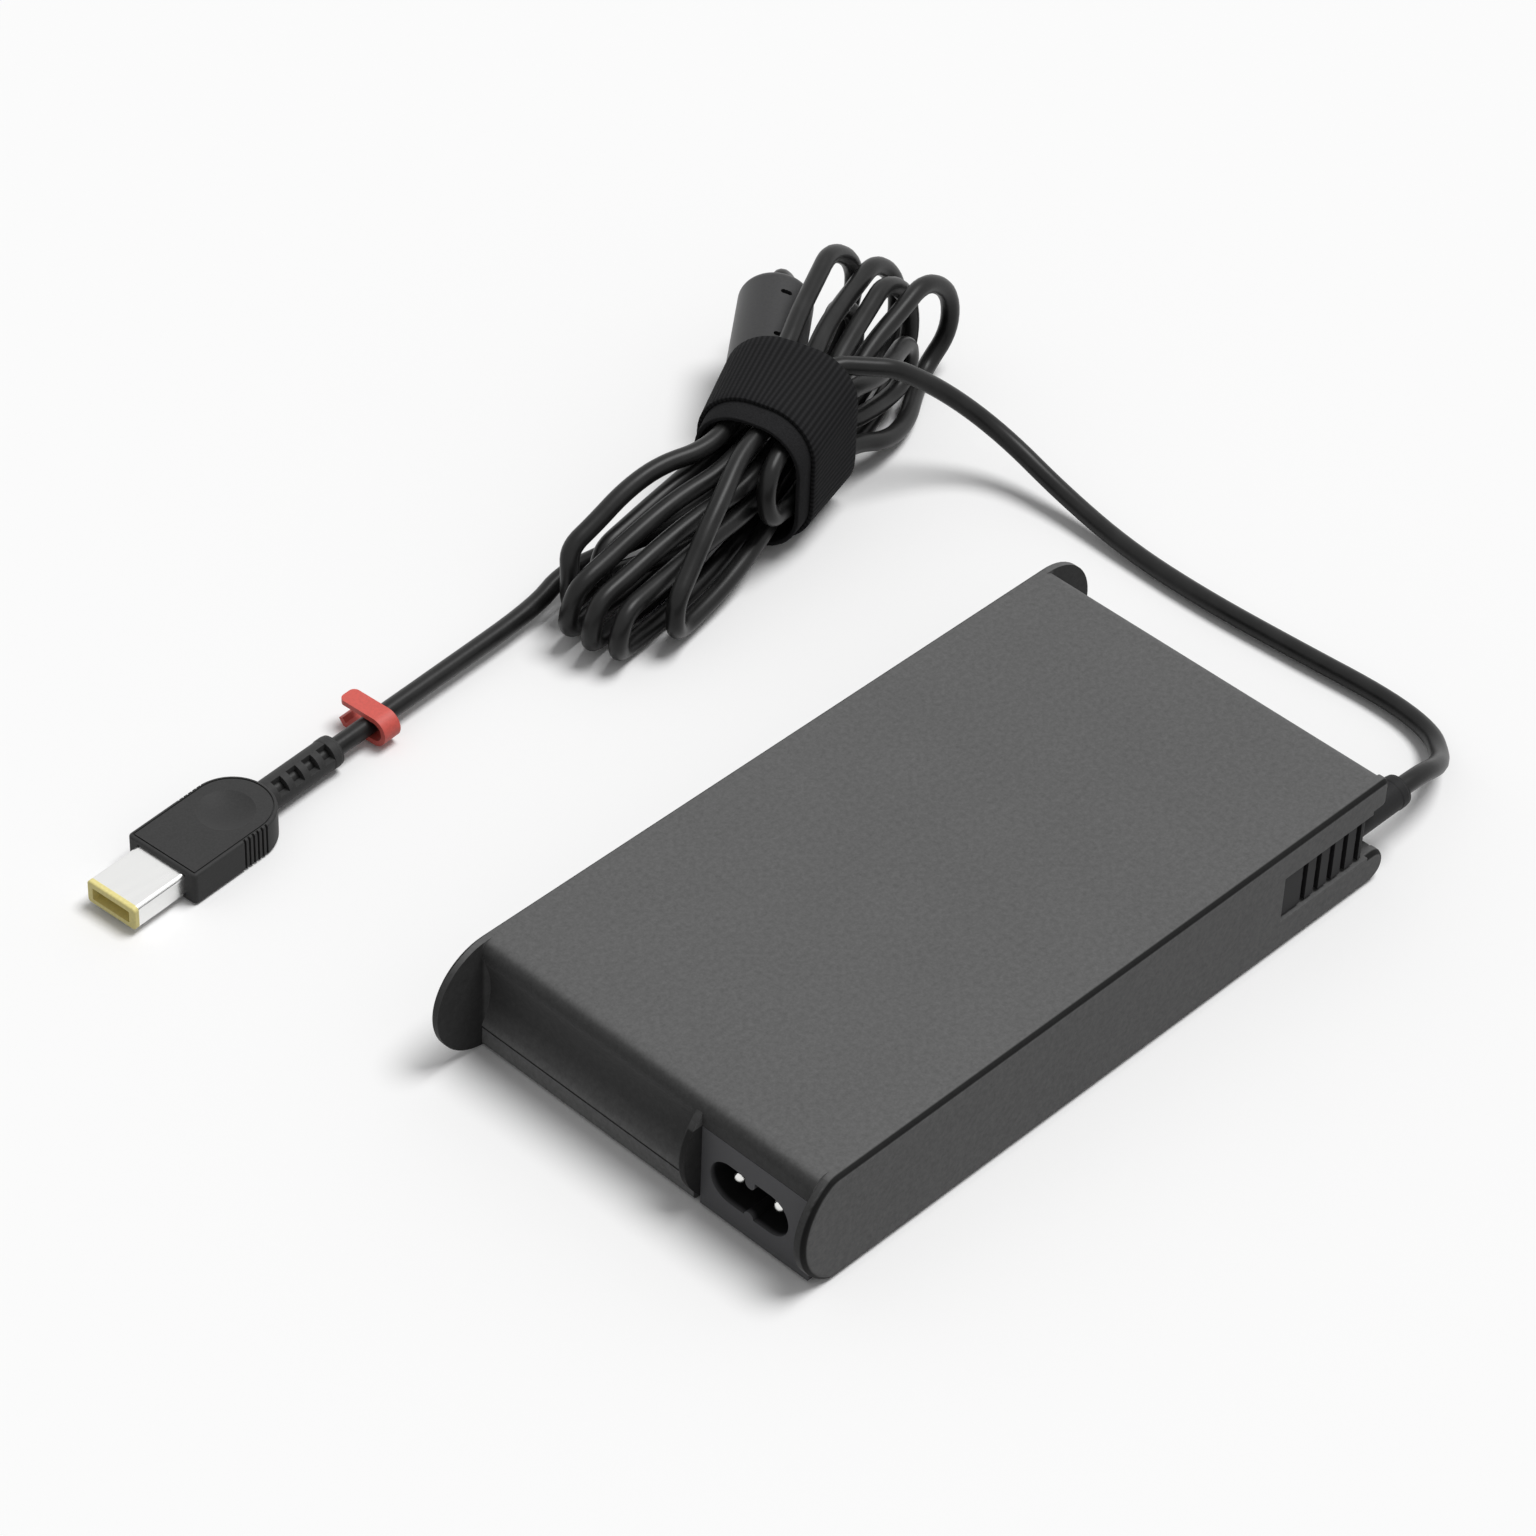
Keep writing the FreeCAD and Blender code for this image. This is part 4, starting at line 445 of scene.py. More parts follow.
def lead_points():
    """from the outlet in the brick to the hank, laid on the ground half way"""
    route = [(BOOT_END, OUTLET_Y, OUTLET_Z), (BOOT_END + 6.0, OUTLET_Y, OUTLET_Z), (88.4, -32.2, 7.8),
             (94.6, -28.4, 3.8), (100.0, -22.4, 2.2), (101.6, -11.4, LOOP_FLOOR),
             (100.2, 7.0, LOOP_FLOOR), (99.0, 28.0, LOOP_FLOOR), (99.6, 46.5, LOOP_FLOOR),
             (101.1, 63.3, 4.0), (101.0, 77.4, 9.0), (94.9, 85.7, 17.0)]
    ahead = unit(sub(HANK_START[0], HANK_START[1]))
    return route + [hank_place(p) for p in (add(HANK_START[0], ahead, 1.6 * CORD_D), HANK_START[0])]


def tail_points():
    """from the bead's near end to the plug's boot, straight over its last stretch"""
    axis = unit(sub(BEAD_NEAR, BEAD_FAR))
    inner = [BEAD_NEAR, add(BEAD_NEAR, axis, 7.0), (-2.0, 4.8, 13.8), (-12.0, 2.6, 12.8),
             (-22.0, 8.0, 9.6), (-31.0, 14.8, 7.4), (-39.0, 20.8, 5.0)]
    end = BODY_START + PLUG_LENGTH + PLUG_BOOT_LENGTH
    return [hank_place(p) for p in inner] + [plug_place(end + STRAIGHT_TAIL), plug_place(end)]


def to_hank(p):
    """from the part's frame to the hank's own u, w, z"""
    c = math.cos(math.radians(HANK_TURN))
    s = math.sin(math.radians(HANK_TURN))
    x = p[0] - HANK_X
    y = p[1] - HANK_Y
    return (x * c + y * s, y * c - x * s, p[2])


def hank_controls():
    """control points of the gathered turns: two for each node, one each way along its direction"""
    still = [to_hank(p) for p in tail_points()[:-1]]
    points, dirs = settle(hank_nodes(), still)
    controls = [points[0]]
    for i in range(len(points) - 1):
        middle = meeting_point(points[i], dirs[i], points[i + 1], dirs[i + 1])
        for p, t in ((points[i], dirs[i]), (points[i + 1], dirs[i + 1])):
            along = dot(sub(middle, p), t)
            chord = size(sub(middle, p))
            reach = chord * chord / (2 * along)
            controls.append(add(p, t, reach))
    return [hank_place(p) for p in controls]


# Surfaces

# Where the housing's painted shade and painted light lie, and where the inlet's face gives way to its
# recess
inlet_low, inlet_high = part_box("inlet_block")
INLET_FACE = inlet_low[0]
CHEEK_SIDE = inlet_high[1] + 1.3 * MM
CHEEK_START = inlet_low[0] + 3.2 * MM
WALL_SIDE = -inlet_low[1]
BROW_HEIGHT = inlet_high[2] + 0.2 * MM
EAR_START = -inlet_low[0] - 1.0 * MM
EAR_SIDE = 30.0 * MM
LIP_HEIGHT = 4.2 * MM
LIP_FADE = 6.0 * MM
HOLLOW_TOP = 10.0 * MM
BORDER = 0.3 * MM
# how much painted shade the housing gets on its edges, in its hollowed end, on the ears and round the
# inlet, and how much painted light on the bottom strip of its inlet end
EDGE_PAINTED_SHADE = 0.9
HOLLOW_PAINTED_SHADE = 0.52
EAR_PAINTED_SHADE = 0.62
LIP_PAINTED_LIGHT = 0.5
INLET_WALLS_PAINTED_SHADE = 0.72
# painted light on the inlet's face and painted shade in its recess, as multiples of the inlet's colour
INLET_FACE_PAINTED_LIGHT = 2.7
INLET_RECESS_PAINTED_SHADE = 0.2
OUTLET_SHADE = 0.65


# The Mix node has sockets of the same name for each type; these are its colour ones
MIX_FACTOR = 0
MIX_FIRST = 6
MIX_SECOND = 7
MIX_COLOUR = 2


def times(colour, factor):
    return [c * factor for c in colour]


class Field:
    """A number or colour that varies over a surface; arithmetic on it adds Math nodes."""

    def __init__(self, finish, socket):
        self.finish = finish
        self.socket = socket

    def math(self, operation, first, second=0.0):
        node = self.finish.node("ShaderNodeMath", {"operation": operation}, {0: first, 1: second})
        return Field(self.finish, node.outputs[0])

    def __add__(self, other):
        return self.math("ADD", self, other)

    def __radd__(self, other):
        return self.math("ADD", other, self)

    def __sub__(self, other):
        return self.math("SUBTRACT", self, other)

    def __rsub__(self, other):
        return self.math("SUBTRACT", other, self)

    def __mul__(self, other):
        return self.math("MULTIPLY", self, other)

    def __neg__(self):
        return 0.0 - self

    def wave(self, pitch):
        """from 0 to 1 and back over each pitch"""
        return self.math("SINE", self * (2 * math.pi / pitch)) * 0.5 + 0.5

    def absolute(self):
        return self.math("ABSOLUTE", self)

    def minimum(self, other):
        return self.math("MINIMUM", self, other)

    def maximum(self, other):
        return self.math("MAXIMUM", self, other)

    def smooth(self, low, high):
        """from 0 at low to 1 at high, without corners"""
        node = self.finish.node("ShaderNodeMapRange",
                                {"interpolation_type": "SMOOTHSTEP", "clamp": True},
                                {"Value": self, "From Min": low, "From Max": high})
        return Field(self.finish, node.outputs["Result"])


class Finish:
    """A procedural material, built from nodes round one Principled shader."""

    def __init__(self, name, colour, roughness, metallic=0.0, **constants):
        self.material = bpy.data.materials.new(name)
        self.material.use_nodes = True
        self.tree = self.material.node_tree
        self.shader = self.tree.nodes["Principled BSDF"]
        self.colour = tuple(colour)
        self.roughness = roughness
        self.set("Base Color", (*colour, 1.0))
        self.set("Roughness", roughness)
        self.set("Metallic", metallic)
        for socket, value in constants.items():
            self.set(socket.replace("_", " "), value)

    def set(self, socket, value):
        self.put(self.shader.inputs[socket], value)

    def put(self, socket, value):
        if isinstance(value, Field):
            self.tree.links.new(value.socket, socket)
        elif isinstance(value, bpy.types.NodeSocket):
            self.tree.links.new(value, socket)
        else:
            socket.default_value = value

    def node(self, kind, settings=None, inputs=None):
        node = self.tree.nodes.new(kind)
        for key, value in (settings or {}).items():
            setattr(node, key, value)
        for key, value in (inputs or {}).items():
            self.put(node.inputs[key], value)
        return node

    def place(self, scale=(1.0, 1.0, 1.0)):
        coordinates = self.node("ShaderNodeTexCoord")
        mapping = self.node("ShaderNodeMapping", None,
                            {"Vector": coordinates.outputs["Object"], "Scale": scale})
        return mapping.outputs["Vector"]

    def split(self, vector):
        """the x, y and z of a vector"""
        parts = self.node("ShaderNodeSeparateXYZ", None, {"Vector": vector})
        return [Field(self, output) for output in parts.outputs]

    def axis(self, source="Object"):
        return self.split(self.node("ShaderNodeTexCoord").outputs[source])

    def noise(self, scale, detail=2.0, roughness=0.5, place=None):
        place = place or self.place()
        node = self.node("ShaderNodeTexNoise", {"noise_dimensions": "3D"},
                         {"Vector": place, "Scale": scale, "Detail": detail, "Roughness": roughness})
        return Field(self, node.outputs["Fac"])

    def cells(self, scale):
        node = self.node("ShaderNodeTexVoronoi", {"feature": "F1"},
                         {"Vector": self.place(), "Scale": scale})
        return Field(self, node.outputs["Distance"])

    def blend(self, field, first, second):
        """base colour between two given ones"""
        node = self.node("ShaderNodeMix", {"data_type": "RGBA"},
                         {MIX_FACTOR: field, MIX_FIRST: (*first, 1.0), MIX_SECOND: (*second, 1.0)})
        self.set("Base Color", node.outputs[MIX_COLOUR])

    def tint(self, field, low, high):
        """base colour between two multiples of the finish's own colour"""
        self.blend(field, times(self.colour, low), [min(1.0, c) for c in times(self.colour, high)])

    def rough(self, field, low, high):
        self.set("Roughness", field * (high - low) + low)

    def bump(self, field, millimetres):
        node = self.node("ShaderNodeBump", None,
                         {"Height": field, "Distance": millimetres * MM, "Strength": 1.0})
        self.set("Normal", node.outputs["Normal"])
        return self.material


def grained(name, colour, roughness, grain=2400.0, depth=0.02, speckle=0.12, **constants):
    """moulded plastic with a fine spark-eroded grain"""
    finish = Finish(name, colour, roughness, **constants)
    fine = finish.noise(grain, 3.0, 0.6)
    broad = finish.noise(60.0, 2.0)
    mixed = fine * 0.8 + broad * 0.2
    finish.tint(mixed.smooth(0.35, 0.65), 1.0 - speckle, 1.0 + speckle)
    finish.rough(fine, roughness - 0.06, roughness + 0.08)
    return finish.bump(fine, depth)


def housing(name, colour):
    """mottled moulding, with painted shade on the rounded edges of its long sides, in its hollowed inlet
    end, on the ears' inner faces and round the inlet, and painted light on the strip along the bottom of
    its inlet end
    """
    finish = Finish(name, colour, 0.6, Specular_IOR_Level=0.08)
    facing = finish.axis("Normal")
    nx, ny, nz = [part.absolute() for part in facing]
    x, y, z = finish.axis()
    inlet_end = (-facing[0]).smooth(0.3, 0.8)
    # painted shade in the hollowed inlet end, above its bottom strip
    hollow_painted_shade = inlet_end * z.smooth(LIP_HEIGHT, HOLLOW_TOP)
    # painted light on the strip along the bottom of the inlet end
    lip_painted_light = inlet_end * (1.0 - z.smooth(LIP_HEIGHT, LIP_FADE))
    # painted shade on the ears' inner faces
    ear_painted_shade = (-facing[1]).smooth(0.5, 0.9) * (y - EAR_SIDE).smooth(0.0, MM)
    ear_painted_shade = ear_painted_shade * (x.absolute() - EAR_START).smooth(0.0, MM)
    # painted shade round the inlet, on the sides of its pocket under the brow
    inlet_walls_painted_shade = (CHEEK_START - x).smooth(0.0, MM) * (CHEEK_SIDE - y).smooth(0.0, BORDER)
    inlet_walls_painted_shade = inlet_walls_painted_shade * (y + WALL_SIDE).smooth(0.0, BORDER) * (BROW_HEIGHT - z).smooth(0.0, BORDER)
    inlet_walls_painted_shade = inlet_walls_painted_shade * (1.0 - nz.smooth(0.5, 0.8))
    # painted shade on the rounded edges, where the surface faces between a long side and the top, bottom
    # or an end
    shade = 1.0 - ny.minimum(nx.maximum(nz)).smooth(0.15, 0.45) * EDGE_PAINTED_SHADE
    for part, change in ((hollow_painted_shade, -HOLLOW_PAINTED_SHADE), (ear_painted_shade, -EAR_PAINTED_SHADE), (lip_painted_light, LIP_PAINTED_LIGHT),
                         (inlet_walls_painted_shade, -INLET_WALLS_PAINTED_SHADE)):
        shade = shade * (1.0 + part * change)
    fine = finish.noise(2400.0, 3.0, 0.6)
    mottle = finish.noise(1000.0, 2.0, 0.6)
    broad = finish.noise(60.0, 2.0)
    grain = fine * 0.4 + mottle * 0.5 + broad * 0.1 + 0.5
    finish.tint(shade * grain * 0.5, 0.0, 2.0)
    finish.rough(fine, 0.55, 0.68)
    return finish.bump(fine + mottle, 0.02)


def inlet_moulding(name, face, recess_painted_shade):
    """the inlet's face with painted light, and its recess, where hardly any light falls, with painted
    shade
    """
    finish = Finish(name, face, 0.55, Specular_IOR_Level=0.1)
    x = finish.axis()[0]
    fine = finish.noise(2400.0, 2.0)
    # painted shade from the face's edge into the recess
    finish.blend(x.smooth(INLET_FACE, INLET_FACE + 1.2 * MM), face, recess_painted_shade)
    finish.rough(fine, 0.5, 0.62)
    return finish.bump(fine, 0.01)


def jacket(name, colour, roughness):
    """soft cord jacket: faint flow lines and a little dust"""
    finish = Finish(name, colour, roughness, Specular_IOR_Level=0.22)
    fine = finish.noise(1500.0, 2.0)
    dust = finish.noise(220.0, 3.0)
    finish.tint(dust.smooth(0.3, 0.75), 0.5, 0.85)
    finish.rough(dust, roughness - 0.05, roughness + 0.08)
    return finish.bump(fine, 0.01)


def tape(name, colour, depth, loops):
    """hook-and-loop tape: ribs along its width on one wrap, a felt of loops on the other"""
    finish = Finish(name, colour, 0.9, Specular_IOR_Level=0.05)
    around, across = finish.split(finish.node("ShaderNodeUVMap").outputs["UV"])[:2]
    rib = around.wave(RIB_PITCH)
    stitch = across.wave(STITCH_PITCH)
    felt = finish.noise(3200.0, 3.0)
    height = felt if loops else rib * 0.65 + stitch * rib * 0.15 + felt * 0.2
    # on the ribbed wrap, painted shade down in the grooves between the ribs, with the felt's random
    # tone; on the loop wrap only the felt's random tone
    finish.tint(height.smooth(0.1, 0.9), 1.2, 2.4)
    finish.rough(felt, 0.75, 0.95)
    return finish.bump(height, depth)


def plated(name, colour, roughness):
    """plated or bare metal with fine lines along x"""
    finish = Finish(name, colour, roughness, 1.0)
    lines = finish.noise(900.0, 2.0, 0.5, finish.place(scale=(0.08, 1.0, 1.0)))
    finish.rough(lines, roughness - 0.03, roughness + 0.05)
    finish.tint(lines, 0.97, 1.02)
    return finish.bump(lines, 0.0015)


def laminate(name, colour):
    """green board with faint tracks under its mask"""
    finish = Finish(name, colour, 0.35)
    tracks = finish.cells(260.0)
    finish.tint(tracks.smooth(0.25, 0.4), 0.75, 1.25)
    finish.rough(tracks, 0.3, 0.45)
    return finish.bump(tracks, 0.01)


def wound(name, colour, pitch):
    """wire or tape laid in turns"""
    finish = Finish(name, colour, 0.35)
    z = finish.axis()[2]
    turn = z.wave(pitch * MM)
    spread = finish.noise(700.0, 2.0)
    # painted shade in the grooves between the turns, with a random spread of tone
    finish.tint(turn * 0.7 + spread * 0.3, 0.7, 1.2)
    finish.rough(spread, 0.3, 0.45)
    return finish.bump(turn, 0.08)


def all_finishes():
    slots = {m["slot"]: tuple(m["base_color"]) for m in frame["record"]["materials"]}
    return {
        # the housing's grain, with painted shade and painted light
        "housing": housing("housing_grain", slots["housing"]),
        # a lit and a shaded copy of the inlet's colour: painted light on its face, painted shade in its
        # recess
        "inlet": inlet_moulding("inlet_plastic", times(slots["inlet"], INLET_FACE_PAINTED_LIGHT),
                                times(slots["inlet"], INLET_RECESS_PAINTED_SHADE)),
        "pin": plated("pin_plating", slots["pin"], 0.2),
        "outlet": grained("outlet_rubber", times(slots["outlet"], OUTLET_SHADE), 0.55, depth=0.008,
                          speckle=0.08, Specular_IOR_Level=0.12),
        "board": laminate("board_mask", slots["board"]),
        "component_dark": grained("component_moulding", slots["component_dark"], 0.6, depth=0.01),
        "ferrite": grained("sintered_core", slots["ferrite"], 0.7, grain=1200.0, depth=0.03),
        "copper_wire": wound("enamelled_wire", slots["copper_wire"], pitch=1.1),
        "capacitor_yellow": grained("capacitor_case", slots["capacitor_yellow"], 0.4, grain=900.0,
                                    depth=0.01, speckle=0.06),
        "capacitor_blue": grained("dipped_coating", slots["capacitor_blue"], 0.25, grain=500.0,
                                  depth=0.03, speckle=0.08),
        "can_sleeve": grained("shrink_sleeve", slots["can_sleeve"], 0.3, grain=400.0, speckle=0.08),
        "can_metal": plated("can_metal", slots["can_metal"], 0.35),
        "winding_tape": wound("winding_tape", slots["winding_tape"], pitch=6.0),
        "sheet_metal": plated("sheet_metal", slots["sheet_metal"], 0.4),
        "thermal_pad": grained("thermal_pad", slots["thermal_pad"], 0.8, grain=1500.0, speckle=0.06),
        "insulation_film": grained("insulation_film", slots["insulation_film"], 0.4, grain=700.0,
                                   depth=0.01, speckle=0.06),
        "lead_wire": grained("wire_insulation", slots["lead_wire"], 0.4, grain=900.0, depth=0.01,
                             speckle=0.06),
        "cord": jacket("cord_jacket", slots["cord"], 0.34),
        "bead_sleeve": grained("bead_moulding", slots["bead_sleeve"], 0.4, grain=2000.0, depth=0.012,
                               speckle=0.1, Specular_IOR_Level=0.3),
        "clip": grained("clip_plastic", slots["clip"], 0.5, grain=1800.0, depth=0.01, speckle=0.06),
        "plug_metal": plated("plug_plating", slots["plug_metal"], 0.25),
        "plug_insert": grained("insert_plastic", slots["plug_insert"], 0.5, grain=1800.0, depth=0.01,
                               speckle=0.05),
        "contact": plated("contact_plating", slots["contact"], 0.3),
        "plug_moulding": grained("plug_grain", slots["plug_moulding"], 0.55, grain=2600.0, depth=0.015,
                                 speckle=0.1, Specular_IOR_Level=0.15),
        "strap": tape("tape_ribs", slots["strap"], depth=0.14, loops=False),
        "strap_under": tape("tape_loops", slots["strap"], depth=0.08, loops=True),
    }


# Making


def finish_piece(name, mesh, material, slot, body, *nodes):
    piece = bpy.data.objects.new(name, mesh)
    bpy.context.scene.collection.objects.link(piece)
    piece.data.materials.clear()
    piece.data.materials.append(material)
    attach(piece, body)
    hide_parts(*nodes)
    return piece


def shared_material(name):
    return bpy.data.materials[name]


class AdapterSizes(bpy.types.PropertyGroup):
    """Sizes of the strap and the cord"""

    cord_diameter: bpy.props.FloatProperty(
        name="Cord diameter", description="Outside diameter of the cord's jacket",
        default=CORD_D * MM, unit="LENGTH")
    cord_length: bpy.props.FloatProperty(
        name="Cord length", description="Length of the cord from the brick to the plug's boot",
        default=CORD_LENGTH * MM, unit="LENGTH")
    strap_thickness: bpy.props.FloatProperty(
        name="Strap thickness", description="Thickness of one wrap of the strap",
        default=STRAP_THICK * MM, unit="LENGTH")


class AdapterStage(bpy.types.PropertyGroup):
    """Light and background"""

    floor_colour: bpy.props.FloatVectorProperty(
        name="Floor colour", description="Colour of the floor under the adapter",
        subtype="COLOR", size=3, default=(0.98, 0.98, 0.98), min=0.0, max=1.0)
    floor_bounce: bpy.props.FloatVectorProperty(
        name="Floor bounce", description="Colour of the floor as the adapter's light sees it",
        subtype="COLOR", size=3, default=(0.45, 0.45, 0.45), min=0.0, max=1.0)
    sky_level: bpy.props.FloatProperty(
        name="Sky level", description="Brightness of the even light from all round",
        default=0.33, min=0.0)
    key_level: bpy.props.FloatProperty(
        name="Key level", description="Brightness of the lamp above", default=2.2, min=0.0)


def background_ray(tree):
    """1 where the background itself is seen: directly, mirrored or through glass"""
    path = tree.nodes.new("ShaderNodeLightPath")
    total = path.outputs["Is Camera Ray"]
    for name in ("Is Glossy Ray", "Is Transmission Ray"):
        node = tree.nodes.new("ShaderNodeMath")
        node.operation = "ADD"
        node.use_clamp = True
        tree.links.new(total, node.inputs[0])
        tree.links.new(path.outputs[name], node.inputs[1])
        total = node.outputs[0]
    return total


def floor_paint(colour, bounce):
    """a floor that is seen pale but throws little light back up; it keeps the shadow"""
    paint = Finish("floor_paint", colour, 0.9, Specular_IOR_Level=0.0)
    seen = Field(paint, background_ray(paint.tree))
    paint.blend(seen, tuple(bounce), tuple(colour))
    return paint.material


# Camera and stage: degrees, millimetres and the photograph's pixels; the floor in metres

CAMERA_AZIMUTH = -47.424
CAMERA_ELEVATION = 41.436
CAMERA_ROLL = 2.451
CAMERA_PLACE = (-489.1, -410.6, 602.4)
SENSOR_WIDTH = 36.0
FOCAL_PIXELS = 5396.0
IMAGE_PIXELS = 1536.0
FLOOR_REACH = 3.0
FLOOR_DROP = 0.0002
KEY_SPREAD = 28.0
KEY_FROM = (0.3, -0.18, 0.94)


class ADAPTER_OT_camera(bpy.types.Operator):
    """Set the camera at the photograph's viewing angle"""

    bl_idname = "adapter.camera"
    bl_label = "Camera"

    def execute(self, context):
        azimuth = math.radians(CAMERA_AZIMUTH)
        elevation = math.radians(CAMERA_ELEVATION)
        roll = math.radians(CAMERA_ROLL)
        back = Vector((math.sin(azimuth) * math.cos(elevation), -math.cos(azimuth) * math.cos(elevation),
                       math.sin(elevation)))
        side = Vector((math.cos(azimuth), math.sin(azimuth), 0.0))
        up = back.cross(side)
        right = math.cos(roll) * side + math.sin(roll) * up
        top = math.cos(roll) * up - math.sin(roll) * side
        data = bpy.data.cameras.new("camera")
        data.sensor_width = SENSOR_WIDTH
        data.lens = SENSOR_WIDTH * FOCAL_PIXELS / IMAGE_PIXELS
        data.clip_start = 0.05
        data.clip_end = 20.0
        camera = bpy.data.objects.new("camera", data)
        turn = Matrix((right, top, back)).transposed().to_4x4()
        camera.matrix_world = Matrix.Translation(Vector(CAMERA_PLACE) * MM) @ turn
        context.scene.collection.objects.link(camera)
        context.scene.camera = camera
        return {"FINISHED"}


class ADAPTER_OT_stage(bpy.types.Operator):
    """Lay a pale floor and set the light"""

    bl_idname = "adapter.stage"
    bl_label = "Stage"

    def execute(self, context):
        stage = context.scene.adapter_stage
        scene = context.scene
        scene.view_settings.view_transform = "Standard"
        mesh = bpy.data.meshes.new("floor")
        shape = bmesh.new()
        bmesh.ops.create_grid(shape, x_segments=1, y_segments=1, size=FLOOR_REACH)
        bmesh.ops.translate(shape, vec=(0, 0, -FLOOR_DROP), verts=shape.verts)
        shape.to_mesh(mesh)
        shape.free()
        floor = bpy.data.objects.new("floor", mesh)
        scene.collection.objects.link(floor)
        floor.data.materials.append(floor_paint(stage.floor_colour, stage.floor_bounce))
        world = bpy.data.worlds.new("sky")
        scene.world = world
        world.use_nodes = True
        tree = world.node_tree
        sky = tree.nodes["Background"]
        level = tree.nodes.new("ShaderNodeMath")
        level.operation = "MULTIPLY_ADD"
        tree.links.new(background_ray(tree), level.inputs[0])
        level.inputs[1].default_value = 1.0 - stage.sky_level
        level.inputs[2].default_value = stage.sky_level
        tree.links.new(level.outputs[0], sky.inputs["Strength"])
        sky.inputs["Color"].default_value = (1.0, 1.0, 1.0, 1.0)
        lamp = bpy.data.lights.new("key", "SUN")
        lamp.energy = stage.key_level
        lamp.angle = math.radians(KEY_SPREAD)
        key = bpy.data.objects.new("key", lamp)
        key.rotation_euler = Vector(KEY_FROM).to_track_quat("Z", "Y").to_euler()
        scene.collection.objects.link(key)
        return {"FINISHED"}


class ADAPTER_OT_finishes(bpy.types.Operator):
    """Give every carried-over CAD piece its procedural finish"""

    bl_idname = "adapter.finishes"
    bl_label = "Finishes"

    def execute(self, context):
        made = all_finishes()
        for row in frame["record"]["subparts"]:
            node = NODES[row["node"]]
            for slot in node.material_slots:
                slot.material = made[row["material_slot"]]
        return {"FINISHED"}


class ADAPTER_OT_cord(bpy.types.Operator):
    """Lay the output cord from the brick through the hank and the bead to the plug"""

    bl_idname = "adapter.cord"
    bl_label = "Cord"

    def execute(self, context):
        sizes = context.scene.adapter_sizes
        tail = tail_points()
        on_the_straight = tuple((a + b) / 2 for a, b in zip(tail[-2], tail[-1]))
        controls = lead_points()[:-1] + hank_controls() + [hank_place(BEAD_NEAR)] + tail[1:-1]
        controls += [on_the_straight, tail[-1]]
        curve = bpy.data.curves.new("output_cord", "CURVE")
        curve.dimensions = "3D"
        curve.bevel_depth = sizes.cord_diameter / 2
        curve.bevel_resolution = 5
        curve.resolution_u = 6
        curve.use_fill_caps = True
        spline = curve.splines.new("NURBS")
        spline.points.add(len(controls) - 1)
        for point, place in zip(spline.points, controls):
            point.co = (*(c * MM for c in place), 1.0)
        spline.order_u = 3
        spline.use_endpoint_u = True
        cord = bpy.data.objects.new("output_cord", curve)
        context.scene.collection.objects.link(cord)
        curve.materials.append(shared_material("cord_jacket"))
        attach(cord, "adapter")
        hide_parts("cord_lead", "cord_hank", "cord_tail", "cord_in_bead")
        exit_point = tuple(c * MM for c in lead_points()[0])
        along = [NODES[n] for n in ("ferrite_sleeve", "plug_body", "plug_boot", "plug_shell",
                                    "plug_insulator", "cable_clip")]
        along += [bpy.data.objects[n] for n in ("strap_under_wrap", "strap_over_wrap")]
        return {"FINISHED"}


def strap_ring(u, inset):
    """points round the strap's section at u"""
    low, high, bottom, top, radii = strap_section(u, inset)
    corners = ((high, bottom, radii[1], -1, 1, -90), (high, top, radii[2], -1, -1, 0),
               (low, top, radii[3], 1, -1, 90), (low, bottom, radii[0], 1, 1, 180))
    steps = STRAP_POINTS // 4 - 1
    points = []
    for w, z, radius, across, up, start in corners:
        for i in range(steps + 1):
            angle = math.radians(start + 90 * i / steps)
            points.append((w + radius * (across + math.cos(angle)), z + radius * (up + math.sin(angle))))
    return points


def strap_wrap_mesh(name, start, end, inset):
    """a band round the hank that widens along its width, with its unwrapped distances as its UV map"""
    shape = bmesh.new()
    layer = shape.loops.layers.uv.new("UVMap")
    rows = []
    for k in range(STRAP_RINGS):
        u = start + (end - start) * k / (STRAP_RINGS - 1)
        places = [hank_place((u, w, z)) for w, z in strap_ring(u, inset)]
        rows.append((u, [shape.verts.new(tuple(c * MM for c in place)) for place in places]))
    middle = rows[STRAP_RINGS // 2][1]
    around = [0.0]
    for i in range(STRAP_POINTS):
        around.append(around[-1] + (middle[(i + 1) % STRAP_POINTS].co - middle[i].co).length / MM)
    for (u0, first), (u1, second) in zip(rows, rows[1:]):
        for i in range(STRAP_POINTS):
            j = (i + 1) % STRAP_POINTS
            face = shape.faces.new((first[i], first[j], second[j], second[i]))
            corners = ((around[i], u0), (around[i + 1], u0), (around[i + 1], u1), (around[i], u1))
            for loop, value in zip(face.loops, corners):
                loop[layer].uv = value
    bmesh.ops.recalc_face_normals(shape, faces=shape.faces)
    for face in shape.faces:
        face.smooth = True
    mesh = bpy.data.meshes.new(name)
    shape.to_mesh(mesh)
    shape.free()
    return mesh


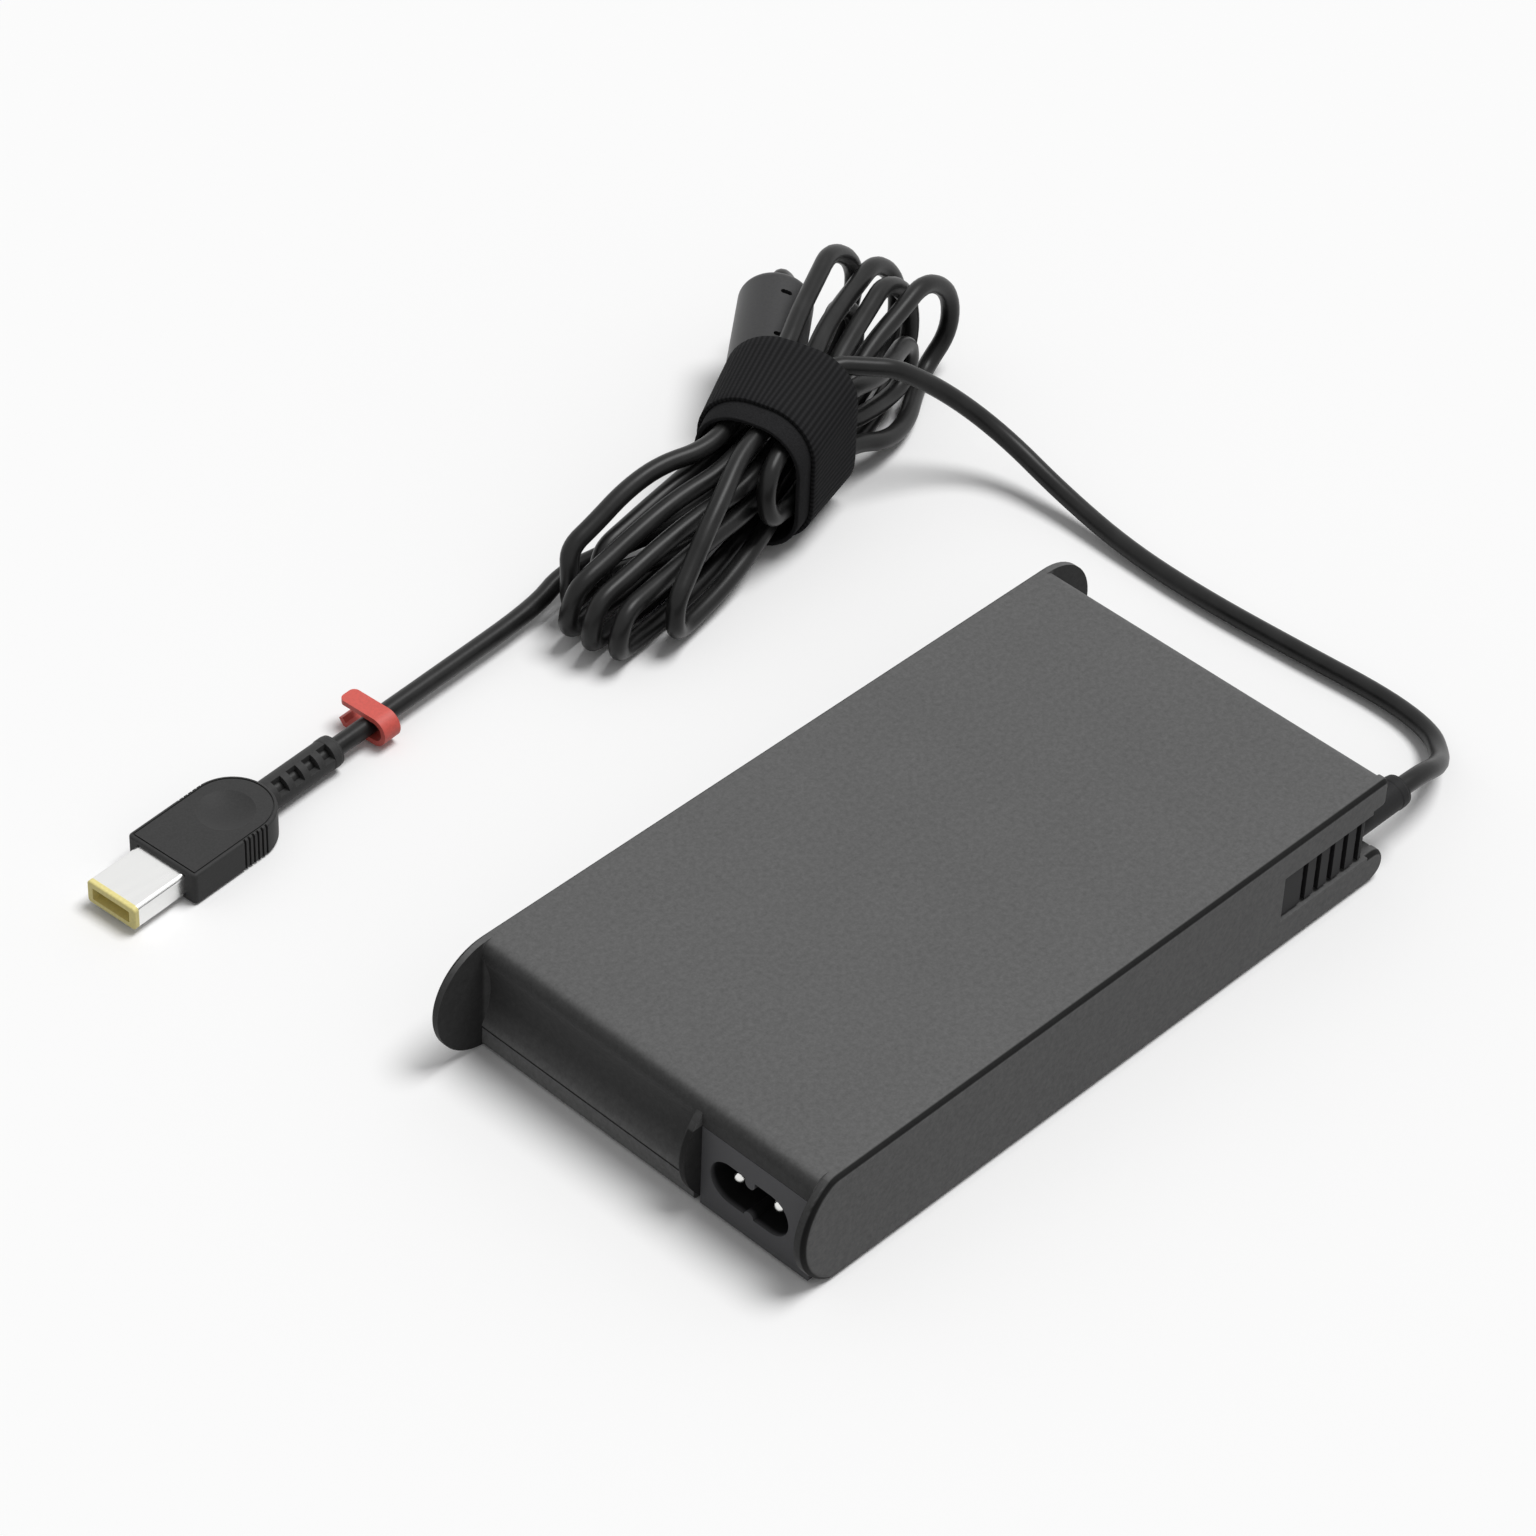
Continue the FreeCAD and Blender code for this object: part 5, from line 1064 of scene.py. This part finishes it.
class ADAPTER_OT_strap(bpy.types.Operator):
    """Wrap the hook-and-loop strap round the hank"""

    bl_idname = "adapter.strap"
    bl_label = "Strap"

    def execute(self, context):
        sizes = context.scene.adapter_sizes
        wraps = (("strap_under_wrap", "strap_inner_wrap", "tape_loops", STRAP_LEFT, STRAP_UNDER_END,
                  STRAP_THICK),
                 ("strap_over_wrap", "strap_outer_wrap", "tape_ribs", STRAP_STEP, STRAP_RIGHT, 0.0))
        for name, node, material, start, end, inset in wraps:
            mesh = strap_wrap_mesh(name, start, end, inset)
            piece = finish_piece(name, mesh, shared_material(material), "strap", "adapter", node)
            wall = piece.modifiers.new("wall", "SOLIDIFY")
            wall.thickness = sizes.strap_thickness
            wall.offset = -1.0
            wall.use_even_offset = True
            edge = piece.modifiers.new("edge", "BEVEL")
            edge.width = 0.25 * sizes.strap_thickness
            edge.segments = 2
            edge.limit_method = "ANGLE"
        return {"FINISHED"}


class ADAPTER_PT_panel(bpy.types.Panel):
    """Shows the adapter's values and its operators' buttons"""

    bl_label = "Laptop power adapter"
    bl_idname = "ADAPTER_PT_panel"
    bl_space_type = "VIEW_3D"
    bl_region_type = "UI"
    bl_category = "Adapter"

    def draw(self, context):
        for group in (context.scene.adapter_sizes, context.scene.adapter_stage):
            for name in group.__annotations__:
                self.layout.prop(group, name)
        for operator in OPERATORS:
            self.layout.operator(operator.bl_idname)


OPERATORS = (ADAPTER_OT_camera, ADAPTER_OT_finishes, ADAPTER_OT_strap, ADAPTER_OT_cord, ADAPTER_OT_stage)
GROUPS = (AdapterSizes, AdapterStage)


def register():
    for cls in GROUPS + OPERATORS + (ADAPTER_PT_panel,):
        bpy.utils.register_class(cls)
    bpy.types.Scene.adapter_sizes = bpy.props.PointerProperty(type=AdapterSizes)
    bpy.types.Scene.adapter_stage = bpy.props.PointerProperty(type=AdapterStage)


def unregister():
    del bpy.types.Scene.adapter_stage
    del bpy.types.Scene.adapter_sizes
    for cls in reversed(GROUPS + OPERATORS + (ADAPTER_PT_panel,)):
        bpy.utils.unregister_class(cls)


def main():
    register()
    bpy.ops.adapter.camera()
    bpy.ops.adapter.finishes()
    bpy.ops.adapter.strap()
    bpy.ops.adapter.cord()
    bpy.ops.adapter.stage()


if __name__ == "__main__":
    main()
